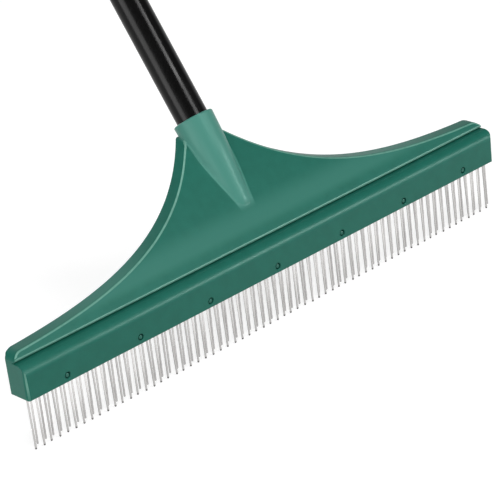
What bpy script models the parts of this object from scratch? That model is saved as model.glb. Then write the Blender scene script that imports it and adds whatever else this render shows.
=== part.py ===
"""Turf rake: a moulded head on a tubular steel handle, with a row of wire tines under the head.

The head stands as it does in use: tines down, pin holes towards -Y, handle leaning back towards +Y.
The origin is in the middle of the flat land on the bar's underside, behind the tine slot.
Everything is modelled from the bar's lower front edge, and one empty moves it to that origin.
"""

import math

import bmesh
import bpy
from mathutils import Matrix, Vector

MM = 0.001
FIT_GAP = 0.3 * MM
CUT_PAST = 5 * MM

# The bar, whose lower front edge is y = 0, z = 0
BAR_HALF = 228.5 * MM
BAR_DEPTH = 20.4 * MM
BAR_TOP = 25.2 * MM
BAR_ROUND_START = 18.0 * MM
BAR_ROUND_DEPTH = 7.5 * MM
BAR_EDGE = 1.5 * MM
BAR_ROUND_STEPS = 6

# The slot for the tines, in the bar's underside
SLOT_FRONT = 2.4 * MM
SLOT_BACK = 11.4 * MM
SLOT_ROOF = 12.8 * MM
SLOT_HALF = 227.3 * MM

# The sloping plate between the bar and the socket
RIDGE_Y = 9.46 * MM
RIDGE_Z = 26.6 * MM
PLATE_SLOPE = 0.73
PLATE_CURVE = 0.00159 / MM
PLATE_TOP = 93.5 * MM
PLATE_DEPTH = 10.5 * MM
PLATE_STEPS = 9
LIP_GROOVE_BACK = 12.0 * MM
LIP_UNDERSIDE = 26.2 * MM
LIP_NOSE = 0.3 * MM

# The plate's outline, seen along Y: a rounded corner at each end, then one long concave curve
CORNER_WIDTH = 9.0 * MM
CORNER_START = 24.0 * MM
CORNER_TOP = 31.8 * MM
CORNER_STEPS = 5
SIDE_PULL_LOW = (123.9 * MM, 35.2 * MM)
SIDE_PULL_HIGH = (61.2 * MM, 48.0 * MM)
SIDE_END = 15.0 * MM
SIDE_STEPS = 14

# The open back of the moulding
WALL = 2.8 * MM
FRONT_WALL = 3.5 * MM
RIB = 2.2 * MM
RIB_PITCH = 38.0 * MM
RIBS_EACH_SIDE = 5
POCKET_ABOVE_SLOT = (4.0 * MM, 15.4 * MM, 23.2 * MM)
POCKET_BEHIND_SLOT = (14.0 * MM, 2.6 * MM, 12.8 * MM)
PLATE_POCKET_FLOOR = 28.2 * MM

# The handle's axis leans back in the plane x = 0; distances along it start at z = 0
HANDLE_LEAN = math.radians(33.15)
HANDLE_FOOT_Y = 4.1 * MM
ROUND_STEPS = 32

# The socket, as (distance along the axis, outer radius), from the rim down
SOCKET_RIM = 123.7 * MM
SOCKET_OUTSIDE = (
    (95.0 * MM, 14.3 * MM),
    (79.0 * MM, 12.3 * MM),
    (64.0 * MM, 10.8 * MM),
    (50.0 * MM, 9.85 * MM),
    (36.0 * MM, 8.8 * MM),
)
SOCKET_RIM_RADIUS = 15.3 * MM
SOCKET_LIP = 0.9 * MM
COUNTERBORE_RADIUS = 12.15 * MM
COUNTERBORE_FLOOR = 95.7 * MM
THREAD_BORE_FLOOR = 63.7 * MM
THREAD_BORE_TOP_RADIUS = 9.8 * MM
THREAD_BORE_LOW_RADIUS = 8.2 * MM

# The handle
TUBE_RADIUS = 12.0 * MM
TUBE_WALL = 0.8 * MM
TUBE_LENGTH = 1290.0 * MM
TIP_FLANGE = 2.0 * MM
TIP_PLUG = 24.0 * MM
THREAD_PITCH = 4.0 * MM
THREAD_DEPTH = 0.8 * MM
THREAD_TURNS = 7
CAP_HEAD = 34.0 * MM
CAP_PLUG = 22.0 * MM
CAP_RADIUS = 12.7 * MM
CAP_ROUND = 8.0 * MM
CAP_CHEEK = 4.6 * MM
HANG_HOLE_RADIUS = 5.0 * MM
HANG_HOLE_FROM_TOP = 13.0 * MM

# The tines: hairpins of spring wire, five to a set, with their bends moulded into a block
WIRE_RADIUS = 0.75 * MM
TINE_PITCH = 6.99 * MM
TINE_LENGTH = 38.5 * MM
TINES_PER_SET = 5
SETS = 13
LEG_SPREAD = 4.37 * MM
LEG_FRONT_Y = 5.9 * MM
LEG_BACK_Y = 7.9 * MM
LEG_BACK_SPLAY = 1.5 * MM
LEG_BACK_SHORTER = 1.3 * MM
WIRE_SIDES = 6
TIP_TAPER = 0.6 * MM
LEG_ROOT_IN_BLOCK = 3.0 * MM

# The rail that carries the blocks, and the blocks, as (front, back) at the mouth and at the top
RAIL_FRONT = 2.7 * MM
RAIL_BACK = 11.1 * MM
RAIL_LOW = 0.6 * MM
RAIL_TOP = 12.5 * MM
RAIL_WEB = 2.0 * MM
BLOCK_LOW = 0.9 * MM
BLOCK_MOUTH = (4.8 * MM, 9.0 * MM)
BLOCK_TOP = (4.4 * MM, 9.4 * MM)

# The pins that lock the rail in the slot
PIN_COUNT = 7
PIN_PITCH = 64.79 * MM
PIN_HEIGHT = 5.04 * MM
PIN_HOLE_RADIUS = 2.3 * MM
PIN_RADIUS = 2.0 * MM
PIN_RECESS = 0.8 * MM
PIN_DOME = 0.5 * MM
PIN_END = 4.2 * MM
PIN_STEPS = 16

LAND_MIDDLE = (SLOT_BACK + BAR_DEPTH) / 2


def clear_scene():
    for old in list(bpy.data.objects):
        bpy.data.objects.remove(old, do_unlink=True)


def new_collection(name):
    collection = bpy.data.collections.new(name)
    bpy.context.scene.collection.children.link(collection)
    return collection


def plain_material(name, colour, roughness, metallic=0.0):
    material = bpy.data.materials.new(name)
    material.use_nodes = True
    shader = material.node_tree.nodes["Principled BSDF"]
    shader.inputs["Base Color"].default_value = (*colour, 1.0)
    shader.inputs["Roughness"].default_value = roughness
    shader.inputs["Metallic"].default_value = metallic
    return material


def mesh_object(name, mesh, collection, parent, turn=None):
    obj = bpy.data.objects.new(name, mesh)
    collection.objects.link(obj)
    obj.parent = parent
    if turn is not None:
        obj.matrix_local = turn
    return obj


def as_cutter(obj):
    obj.hide_render = True
    obj.display_type = "WIRE"
    return obj


def smooth(obj, angle=35):
    obj.data.shade_smooth()
    obj.data.set_sharp_from_angle(angle=math.radians(angle))


def combine(obj, other, operation):
    """Leaves a live Boolean on obj that cuts, joins or keeps what it shares with other."""
    boolean = obj.modifiers.new(f"{operation.lower()} {other.name}", "BOOLEAN")
    boolean.operation = operation
    boolean.object = other


def flat_solid(name, outline, half_depth, turn, collection, parent):
    """A filled 2D outline given a thickness, made a mesh with its caps welded on."""
    curve = bpy.data.curves.new(name, "CURVE")
    curve.dimensions = "2D"
    curve.fill_mode = "BOTH"
    curve.extrude = half_depth
    spline = curve.splines.new("POLY")
    spline.points.add(len(outline) - 1)
    for point, (across, up) in zip(spline.points, outline):
        point.co = (across, up, 0, 1)
    spline.use_cyclic_u = True
    drawn = bpy.data.objects.new(name + " outline", curve)
    bpy.context.scene.collection.objects.link(drawn)
    bpy.context.view_layer.update()
    depsgraph = bpy.context.evaluated_depsgraph_get()
    mesh = bpy.data.meshes.new_from_object(drawn.evaluated_get(depsgraph))
    mesh.name = name
    bpy.data.objects.remove(drawn, do_unlink=True)
    work = bmesh.new()
    work.from_mesh(mesh)
    bmesh.ops.remove_doubles(work, verts=work.verts, dist=0.00001)
    bmesh.ops.dissolve_limit(work, angle_limit=0.001, verts=work.verts, edges=work.edges)
    bmesh.ops.recalc_face_normals(work, faces=work.faces)
    work.to_mesh(mesh)
    work.free()
    return mesh_object(name, mesh, collection, parent, turn)


def turned_solid(name, profile, collection, parent, steps=ROUND_STEPS, closed=False, place=None):
    """A profile of (radius, height) turned round the local Z axis, its outer side running down."""
    mesh = bpy.data.meshes.new(name)
    edges = [(index, index + 1) for index in range(len(profile) - 1)]
    if closed:
        edges.append((len(profile) - 1, 0))
    mesh.from_pydata([(radius, 0, height) for radius, height in profile], edges, [])
    obj = mesh_object(name, mesh, collection, parent, place)
    screw = obj.modifiers.new("turn", "SCREW")
    screw.axis = "Z"
    screw.steps = steps
    screw.render_steps = steps
    screw.use_merge_vertices = True
    screw.merge_threshold = 0.00001
    screw.use_smooth_shade = True
    return obj


def box_solid(name, low, high, collection, parent):
    mesh = bpy.data.meshes.new(name)
    work = bmesh.new()
    size = [top - bottom for bottom, top in zip(low, high)]
    middle = [(top + bottom) / 2 for bottom, top in zip(low, high)]
    place = Matrix.Translation(middle) @ Matrix.Diagonal((*size, 1))
    bmesh.ops.create_cube(work, size=1, matrix=place)
    work.to_mesh(mesh)
    work.free()
    return mesh_object(name, mesh, collection, parent)


def joined_mesh(name, obj, collection, parent):
    """What an object with modifiers evaluates to, as an object with none, in its parent's space."""
    bpy.context.view_layer.update()
    depsgraph = bpy.context.evaluated_depsgraph_get()
    mesh = bpy.data.meshes.new_from_object(obj.evaluated_get(depsgraph))
    mesh.transform(parent.matrix_world.inverted() @ obj.matrix_world)
    mesh.name = name
    bpy.data.objects.remove(obj, do_unlink=True)
    return mesh_object(name, mesh, collection, parent)


def along_x():
    """Turns an outline drawn in (y, z) so that its thickness runs along X."""
    return Matrix(((0, 0, 1, 0), (1, 0, 0, 0), (0, 1, 0, 0), (0, 0, 0, 1)))


def along_y():
    """Turns an outline drawn in (x, z) so that its thickness runs along Y."""
    return Matrix(((1, 0, 0, 0), (0, 0, -1, 0), (0, 1, 0, 0), (0, 0, 0, 1)))


def bezier(start, pull_a, pull_b, end, steps):
    points = []
    for step in range(steps + 1):
        t = step / steps
        weights = ((1 - t) ** 3, 3 * (1 - t) ** 2 * t, 3 * (1 - t) * t**2, t**3)
        corners = (start, pull_a, pull_b, end)
        points.append(tuple(sum(w * corner[axis] for w, corner in zip(weights, corners)) for axis in (0, 1)))
    return points


def plate_front(height):
    """How far back the plate's front surface is at a height above the bar's underside."""
    above = height - RIDGE_Z
    return RIDGE_Y + PLATE_SLOPE * above + PLATE_CURVE * above**2


def head_profile():
    """The section of bar and plate, whose lip overhangs a groove along the top of the bar."""
    points = [(BAR_EDGE / 2, 0), (0, BAR_EDGE / 2)]
    for step in range(BAR_ROUND_STEPS + 1):
        angle = step / BAR_ROUND_STEPS * math.pi / 2
        back = BAR_ROUND_DEPTH * (1 - math.cos(angle))
        up = BAR_ROUND_START + (BAR_TOP - BAR_ROUND_START) * math.sin(angle)
        points.append((back, up))
    points += [
        (LIP_GROOVE_BACK, BAR_TOP),
        (LIP_GROOVE_BACK, LIP_UNDERSIDE),
        (RIDGE_Y + LIP_NOSE, LIP_UNDERSIDE),
        (RIDGE_Y, LIP_UNDERSIDE + LIP_NOSE),
    ]
    heights = [RIDGE_Z + LIP_NOSE + step / PLATE_STEPS * (PLATE_TOP - RIDGE_Z) for step in range(PLATE_STEPS + 1)]
    points += [(plate_front(height), height) for height in heights]
    points += [(plate_front(height) + PLATE_DEPTH, height) for height in reversed(heights)]
    points += [(BAR_DEPTH, BAR_TOP), (BAR_DEPTH, BAR_EDGE / 2), (BAR_DEPTH - BAR_EDGE / 2, 0)]
    return points


def corner(middle, reach, first_degrees, last_degrees, steps=3):
    """The points of a rounded corner about its middle, with its own reach across and up."""
    points = []
    for step in range(steps + 1):
        angle = math.radians(first_degrees + step / steps * (last_degrees - first_degrees))
        points.append((middle[0] + reach[0] * math.cos(angle), middle[1] + reach[1] * math.sin(angle)))
    return points


def half_outline(inset=0.0):
    """The right half of the plate's outline, from the bar up to the socket, drawn in by inset."""
    corner_x = BAR_HALF - CORNER_WIDTH
    reach = (CORNER_WIDTH, CORNER_TOP - CORNER_START)
    points = corner((corner_x, CORNER_START), reach, 0, 90, CORNER_STEPS)[:-1]
    points += bezier((corner_x, CORNER_TOP), SIDE_PULL_LOW, SIDE_PULL_HIGH, (SIDE_END, PLATE_TOP), SIDE_STEPS)
    if not inset:
        return points
    drawn_in = []
    for index, (across, up) in enumerate(points):
        before = points[max(index - 1, 0)]
        after = points[min(index + 1, len(points) - 1)]
        run = Vector((after[0] - before[0], after[1] - before[1])).normalized()
        drawn_in.append((across - inset * run.y, up + inset * run.x))
    return drawn_in


def mirrored(half):
    return half + [(-across, up) for across, up in reversed(half)]


def make_moulding(hidden, datum):
    """The bar and the sloping plate as one body, before it is hollowed."""
    body = flat_solid("bar and plate", head_profile(), BAR_HALF + CUT_PAST, along_x(), hidden, datum)
    inner_x = BAR_HALF - BAR_EDGE
    reach = (BAR_EDGE, BAR_EDGE)
    front_view = [(inner_x, -CUT_PAST)] + corner((inner_x, BAR_EDGE), reach, -90, 0) + half_outline()
    outline = flat_solid("front outline", mirrored(front_view), 4 * PLATE_TOP, along_y(), hidden, datum)
    combine(body, as_cutter(outline), "INTERSECT")
    plan = [(inner_x, -CUT_PAST)] + corner((inner_x, BAR_EDGE), reach, -90, 0)
    plan += corner((inner_x, BAR_DEPTH - BAR_EDGE), reach, 0, 90) + [(inner_x, 2 * PLATE_TOP)]
    ends = flat_solid("plan outline", mirrored(plan), 2 * PLATE_TOP, None, hidden, datum)
    combine(body, as_cutter(ends), "INTERSECT")
    return body


def make_hollow(hidden, datum):
    """What is cored out of the moulding's back, less the ribs that stay."""
    pocket_half = BAR_HALF - WALL
    past_back = BAR_DEPTH + CUT_PAST
    front, low, high = POCKET_ABOVE_SLOT
    above = box_solid("pocket above the slot", (-pocket_half, front, low), (pocket_half, past_back, high), hidden, datum)
    front, low, high = POCKET_BEHIND_SLOT
    behind = box_solid("pocket behind the slot", (-pocket_half, front, low), (pocket_half, past_back, high), hidden, datum)
    inner_half = [point for point in half_outline(WALL) if point[1] > PLATE_POCKET_FLOOR]
    outline = mirrored([(inner_half[0][0], PLATE_POCKET_FLOOR)] + inner_half)
    plate = flat_solid("plate pocket", outline, 4 * PLATE_TOP, along_y(), hidden, datum)
    heights = [step / PLATE_STEPS * PLATE_TOP * 1.2 for step in range(PLATE_STEPS + 1)]
    inner = [(plate_front(height) + FRONT_WALL, height) for height in heights]
    outer = [(back + 4 * PLATE_DEPTH, height) for back, height in reversed(inner)]
    behind_front = flat_solid("behind the front wall", inner + outer, BAR_HALF, along_x(), hidden, datum)
    combine(plate, as_cutter(behind_front), "INTERSECT")
    pockets = [above, behind, plate]
    for side in (-1, 1):
        for number in range(1, RIBS_EACH_SIDE + 1):
            middle = side * number * RIB_PITCH
            low_corner = (middle - RIB / 2, -CUT_PAST, -CUT_PAST)
            high_corner = (middle + RIB / 2, 4 * PLATE_TOP, 2 * PLATE_TOP)
            rib = box_solid(f"rib {side * number}", low_corner, high_corner, hidden, datum)
            as_cutter(rib)
            for pocket in pockets:
                combine(pocket, rib, "DIFFERENCE")
    return [as_cutter(pocket) for pocket in pockets]


def make_socket(hidden, axis):
    """The turned boss that grows out of the plate, closed at its lower end."""
    profile = [
        (0, SOCKET_RIM),
        (SOCKET_RIM_RADIUS - SOCKET_LIP, SOCKET_RIM),
        (SOCKET_RIM_RADIUS, SOCKET_RIM - SOCKET_LIP),
    ]
    profile += [(radius, distance) for distance, radius in SOCKET_OUTSIDE]
    profile.append((0, SOCKET_OUTSIDE[-1][0]))
    return as_cutter(turned_solid("socket body", profile, hidden, axis))


def make_socket_bore(hidden, axis):
    profile = [
        (0, SOCKET_RIM + CUT_PAST),
        (COUNTERBORE_RADIUS, SOCKET_RIM + CUT_PAST),
        (COUNTERBORE_RADIUS, COUNTERBORE_FLOOR),
        (THREAD_BORE_TOP_RADIUS, COUNTERBORE_FLOOR),
        (THREAD_BORE_LOW_RADIUS, THREAD_BORE_FLOOR),
        (0, THREAD_BORE_FLOOR),
    ]
    return as_cutter(turned_solid("socket bore", profile, hidden, axis))


def pin_place(number):
    """Puts a turned piece's axis along Y through the given pin hole, its top towards the front."""
    across = (number - (PIN_COUNT - 1) / 2) * PIN_PITCH
    return Matrix.Translation((across, 0, PIN_HEIGHT)) @ Matrix.Rotation(math.radians(90), 4, "X")


def make_pin_holes(hidden, datum):
    profile = [
        (0, CUT_PAST),
        (PIN_HOLE_RADIUS, CUT_PAST),
        (PIN_HOLE_RADIUS, -PIN_END - 2 * FIT_GAP / 3),
        (0, -PIN_END - 2 * FIT_GAP / 3),
    ]
    holes = []
    for number in range(PIN_COUNT):
        hole = turned_solid(f"pin hole {number + 1}", profile, hidden, datum, PIN_STEPS, place=pin_place(number))
        holes.append(as_cutter(hole))
    return holes


def make_head(parts, hidden, datum, axis, pin_holes, material):
    moulding = make_moulding(hidden, datum)
    for pocket in make_hollow(hidden, datum):
        combine(moulding, pocket, "DIFFERENCE")
    combine(moulding, make_socket(hidden, axis), "UNION")
    combine(moulding, make_socket_bore(hidden, axis), "DIFFERENCE")
    slot_low = (-SLOT_HALF, SLOT_FRONT, -CUT_PAST)
    slot_high = (SLOT_HALF, SLOT_BACK, SLOT_ROOF)
    slot = as_cutter(box_solid("tine slot", slot_low, slot_high, hidden, datum))
    combine(moulding, slot, "DIFFERENCE")
    for hole in pin_holes:
        combine(moulding, hole, "DIFFERENCE")
    head = joined_mesh("rake_head", moulding, parts, datum)
    smooth(head)
    head.data.materials.clear()
    head.data.materials.append(material)


def make_rail(parts, datum, pin_holes, material):
    """A channel with a mouth narrower than its roof, so that the blocks slide in from an end."""
    mouth_front, mouth_back = (BLOCK_MOUTH[0] - FIT_GAP, BLOCK_MOUTH[1] + FIT_GAP)
    roof_front, roof_back = (BLOCK_TOP[0] - FIT_GAP, BLOCK_TOP[1] + FIT_GAP)
    roof = RAIL_TOP - RAIL_WEB
    outline = [
        (RAIL_FRONT, RAIL_LOW),
        (RAIL_FRONT, RAIL_TOP),
        (RAIL_BACK, RAIL_TOP),
        (RAIL_BACK, RAIL_LOW),
        (mouth_back, RAIL_LOW),
        (roof_back, roof),
        (roof_front, roof),
        (mouth_front, RAIL_LOW),
    ]
    rail = flat_solid("tine_rail", outline, SLOT_HALF - FIT_GAP, along_x(), parts, datum)
    for hole in pin_holes:
        combine(rail, hole, "DIFFERENCE")
    rail.data.materials.append(material)


def leg_points(across, root_y, tip_y, length):
    """One leg of a hairpin, from inside the block to its tip, as (point, share of the wire's radius)."""
    root = Vector((across, root_y, 0))
    tip = Vector((across, tip_y, -length))
    taper = (root - tip).normalized() * TIP_TAPER
    return [
        (root + Vector((0, 0, BLOCK_LOW + LEG_ROOT_IN_BLOCK)), 1.0),
        (root, 1.0),
        (tip + taper, 1.0),
        (tip, 0.55),
    ]


def make_legs(name, starts, hidden, datum):
    """The legs of one set of hairpins as one mesh of round wires with closed ends."""
    curve = bpy.data.curves.new(name, "CURVE")
    curve.dimensions = "3D"
    curve.bevel_depth = WIRE_RADIUS
    curve.bevel_resolution = (WIRE_SIDES - 4) // 2
    curve.use_fill_caps = True
    for across in starts:
        legs = (
            leg_points(across, LEG_FRONT_Y, LEG_FRONT_Y, TINE_LENGTH),
            leg_points(across + LEG_SPREAD, LEG_BACK_Y, LEG_BACK_Y + LEG_BACK_SPLAY, TINE_LENGTH - LEG_BACK_SHORTER),
        )
        for leg in legs:
            spline = curve.splines.new("POLY")
            spline.points.add(len(leg) - 1)
            for point, (place, share) in zip(spline.points, leg):
                point.co = (*place, 1)
                point.radius = share
    drawn = bpy.data.objects.new(name + " wires", curve)
    hidden.objects.link(drawn)
    drawn.parent = datum
    legs = joined_mesh(name, drawn, hidden, datum)
    work = bmesh.new()
    work.from_mesh(legs.data)
    bmesh.ops.remove_doubles(work, verts=work.verts, dist=0.00001)
    bmesh.ops.recalc_face_normals(work, faces=work.faces)
    work.to_mesh(legs.data)
    work.free()
    return as_cutter(legs)


def make_tine_sets(parts, hidden, datum, material):
    """Thirteen like sets: a wedge-shaped block with five hairpins, whose legs leave its underside."""
    set_length = TINES_PER_SET * TINE_PITCH
    outline = [
        (BLOCK_MOUTH[0], BLOCK_LOW),
        (BLOCK_TOP[0], RAIL_TOP - RAIL_WEB - FIT_GAP),
        (BLOCK_TOP[1], RAIL_TOP - RAIL_WEB - FIT_GAP),
        (BLOCK_MOUTH[1], BLOCK_LOW),
    ]
    block = flat_solid("tine block", outline, (set_length - FIT_GAP) / 2, along_x(), hidden, datum)
    row = (TINES_PER_SET - 1) * TINE_PITCH + LEG_SPREAD
    starts = [number * TINE_PITCH - row / 2 for number in range(TINES_PER_SET)]
    legs = make_legs("tine legs", starts, hidden, datum)
    combine(block, legs, "UNION")
    first = joined_mesh("tine set", block, hidden, datum)
    smooth(first)
    first.data.materials.clear()
    first.data.materials.append(material)
    mesh = first.data
    bpy.data.objects.remove(first, do_unlink=True)
    for number in range(SETS):
        across = (number - (SETS - 1) / 2) * set_length
        mesh_object(f"tine_set_{number + 1:02d}", mesh, parts, datum, Matrix.Translation((across, 0, 0)))


def make_pins(parts, datum, material):
    profile = [
        (0, -PIN_RECESS),
        (PIN_RADIUS * 0.7, -PIN_RECESS - PIN_DOME * 0.3),
        (PIN_RADIUS, -PIN_RECESS - PIN_DOME),
        (PIN_RADIUS, -PIN_END),
        (0, -PIN_END),
    ]
    for number in range(PIN_COUNT):
        pin = turned_solid(f"lock_pin_{number + 1}", profile, parts, datum, PIN_STEPS, place=pin_place(number))
        pin.data.materials.append(material)


def make_tube(parts, axis, material):
    low = COUNTERBORE_FLOOR + FIT_GAP + TIP_FLANGE + FIT_GAP
    inner = TUBE_RADIUS - TUBE_WALL
    profile = [(TUBE_RADIUS, low + TUBE_LENGTH), (TUBE_RADIUS, low), (inner, low), (inner, low + TUBE_LENGTH)]
    tube = turned_solid("handle_tube", profile, parts, axis, closed=True)
    tube.data.materials.append(material)
    return low + TUBE_LENGTH


def make_threaded_tip(parts, axis, material):
    """The plastic end that is fixed in the tube and screws into the socket."""
    shoulder = COUNTERBORE_FLOOR + FIT_GAP
    foot = THREAD_BORE_FLOOR + FIT_GAP
    plug = TUBE_RADIUS - TUBE_WALL - FIT_GAP
    flange = COUNTERBORE_RADIUS - FIT_GAP
    profile = [(0, shoulder + TIP_FLANGE + TIP_PLUG), (plug, shoulder + TIP_FLANGE + TIP_PLUG)]
    profile += [(plug, shoulder + TIP_FLANGE), (flange, shoulder + TIP_FLANGE), (flange, shoulder)]
    crest_top = THREAD_BORE_TOP_RADIUS - 2 * FIT_GAP
    taper = (THREAD_BORE_TOP_RADIUS - THREAD_BORE_LOW_RADIUS) / (COUNTERBORE_FLOOR - THREAD_BORE_FLOOR)
    for turn in range(THREAD_TURNS):
        for share, depth in ((0.1, THREAD_DEPTH), (0.35, 0), (0.65, 0), (0.9, THREAD_DEPTH)):
            down = THREAD_PITCH * (turn + share)
            profile.append((crest_top - taper * down - depth, shoulder - down))
    profile += [(profile[-1][0], foot), (0, foot)]
    tip = turned_solid("threaded_tip", profile, parts, axis, steps=24)
    tip.data.materials.append(material)


def make_hang_cap(parts, hidden, axis, tube_top, material):
    """The plug in the handle's top end, with a flattened eye to hang the rake by."""
    low = tube_top + FIT_GAP
    plug = TUBE_RADIUS - TUBE_WALL - FIT_GAP
    top = low + CAP_HEAD
    profile = [(0, top)]
    for step in range(1, 5):
        angle = step / 4 * math.pi / 2
        profile.append((CAP_RADIUS - CAP_ROUND * (1 - math.sin(angle)), top - CAP_ROUND * (1 - math.cos(angle))))
    profile += [(CAP_RADIUS, low), (plug, low), (plug, tube_top - CAP_PLUG), (0, tube_top - CAP_PLUG)]
    cap = turned_solid("hang_cap", profile, parts, axis)
    for side in (-1, 1):
        near, far = sorted((side * CAP_CHEEK, side * 2 * CAP_RADIUS))
        low_corner = (near, -2 * CAP_RADIUS, top - 2 * HANG_HOLE_FROM_TOP)
        cheek = box_solid(f"cap cheek {side}", low_corner, (far, 2 * CAP_RADIUS, top + CUT_PAST), hidden, axis)
        combine(cap, as_cutter(cheek), "DIFFERENCE")
    hole_profile = [(0, CAP_RADIUS), (HANG_HOLE_RADIUS, CAP_RADIUS), (HANG_HOLE_RADIUS, -CAP_RADIUS), (0, -CAP_RADIUS)]
    place = Matrix.Translation((0, 0, top - HANG_HOLE_FROM_TOP)) @ Matrix.Rotation(math.radians(90), 4, "Y")
    hole = turned_solid("hang hole", hole_profile, hidden, axis, 20, place=place)
    combine(cap, as_cutter(hole), "DIFFERENCE")
    cap.data.materials.append(material)


def main():
    clear_scene()
    parts = new_collection("turf_rake")
    hidden = new_collection("cutters")
    hidden.hide_render = True
    datum = bpy.data.objects.new("bar_front_edge", None)
    datum.location = (0, -LAND_MIDDLE, 0)
    axis = bpy.data.objects.new("handle_axis", None)
    axis.parent = datum
    axis.location = (0, HANDLE_FOOT_Y, 0)
    axis.rotation_euler = (-HANDLE_LEAN, 0, 0)
    for empty in (datum, axis):
        bpy.context.scene.collection.objects.link(empty)
    bpy.context.view_layer.update()

    green = plain_material("green_plastic", (0.040, 0.175, 0.128), 0.42)
    tube_black = plain_material("black_satin_coating", (0.012, 0.012, 0.013), 0.3)
    plastic_black = plain_material("black_plastic", (0.02, 0.02, 0.021), 0.5)
    wire = plain_material("spring_wire", (0.45, 0.44, 0.43), 0.35, 1.0)

    pin_holes = make_pin_holes(hidden, datum)
    make_head(parts, hidden, datum, axis, pin_holes, green)
    make_rail(parts, datum, pin_holes, plastic_black)
    make_tine_sets(parts, hidden, datum, wire)
    make_pins(parts, datum, green)
    tube_top = make_tube(parts, axis, tube_black)
    make_threaded_tip(parts, axis, plastic_black)
    make_hang_cap(parts, hidden, axis, tube_top, plastic_black)


main()
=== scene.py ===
"""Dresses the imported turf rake: fine meshes, procedural finishes, a pale studio and the camera.

Lengths are in metres, in the model's own frame: +X along the bar, +Y back, the way the handle leans,
+Z up, with the origin on the bar's underside behind the tine slot. Sections and outlines are drawn
from the bar's lower front edge, which lies at y = BAR_FRONT.
"""
import logging
import math
from contextlib import contextmanager
from dataclasses import dataclass, replace
from enum import Enum
from typing import Callable, Iterable, Iterator, Sequence

import bmesh
import bpy
from mathutils import Matrix, Vector


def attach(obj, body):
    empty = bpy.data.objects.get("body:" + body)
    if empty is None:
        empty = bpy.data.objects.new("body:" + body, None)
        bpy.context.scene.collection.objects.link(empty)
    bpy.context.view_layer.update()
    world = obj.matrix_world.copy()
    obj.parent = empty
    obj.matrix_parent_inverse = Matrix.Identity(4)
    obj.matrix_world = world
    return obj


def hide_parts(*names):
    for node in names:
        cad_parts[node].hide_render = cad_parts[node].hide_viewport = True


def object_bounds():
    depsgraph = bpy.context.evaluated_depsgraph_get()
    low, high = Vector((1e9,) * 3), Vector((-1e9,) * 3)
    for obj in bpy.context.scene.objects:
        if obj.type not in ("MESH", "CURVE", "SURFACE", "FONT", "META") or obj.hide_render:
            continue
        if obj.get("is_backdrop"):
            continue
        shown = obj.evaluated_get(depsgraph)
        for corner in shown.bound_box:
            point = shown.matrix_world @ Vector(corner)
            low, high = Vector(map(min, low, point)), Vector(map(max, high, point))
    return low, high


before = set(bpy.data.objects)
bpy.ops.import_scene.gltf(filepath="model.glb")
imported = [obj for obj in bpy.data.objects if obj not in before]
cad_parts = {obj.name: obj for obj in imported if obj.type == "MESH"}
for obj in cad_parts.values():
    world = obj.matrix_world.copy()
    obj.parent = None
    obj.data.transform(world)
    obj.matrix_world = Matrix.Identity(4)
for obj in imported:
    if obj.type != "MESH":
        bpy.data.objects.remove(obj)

log = logging.getLogger("turf_rake")

MM = 0.001
BODY = "root"  # the body that every piece rides on
BAR_FRONT = -15.9 * MM
FROM_BAR_FRONT = Matrix.Translation((0, BAR_FRONT, 0))  # places what is drawn back from the bar's front
PAST = 6 * MM  # how far a cutting shape reaches past what it cuts
JOIN_DISTANCE = 0.01 * MM  # points that lie closer than this are one point
PAINTED_HIGHLIGHT_INDEX = 1  # the material index of faces given a painted highlight
MOST_NOISE = (0.3, 0.7)  # where most of a noise pattern's values lie

Point = tuple[float, float]
Range = tuple[float, float]
Outline = list[Point]
Colour = tuple[float, float, float]


class Slot(Enum):
    """The record's material slots."""

    GREEN = "green_plastic"
    BLACK = "black_plastic"
    WIRE = "spring_wire"
    TUBE = "black_coated_steel"


class Cut(Enum):
    """What one solid does to another."""

    JOIN = "UNION"
    REMOVE = "DIFFERENCE"
    KEEP_SHARED = "INTERSECT"


class Draw(Enum):
    """The upright plane that an outline is drawn in, as the matrix that turns it into the model's frame."""

    SECTION = Matrix(((0, 0, 1, 0), (1, 0, 0, BAR_FRONT), (0, 1, 0, 0), (0, 0, 0, 1)))
    FRONT_VIEW = Matrix(((1, 0, 0, 0), (0, 0, -1, 0), (0, 1, 0, 0), (0, 0, 0, 1)))


# Nodes of materials and of geometry trees


def socket_named(sockets: Iterable, name: str) -> bpy.types.NodeSocket:
    """Finds the first enabled one of a name among a node's inputs or outputs."""
    return next(socket for socket in sockets if socket.name == name and socket.enabled)


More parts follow.
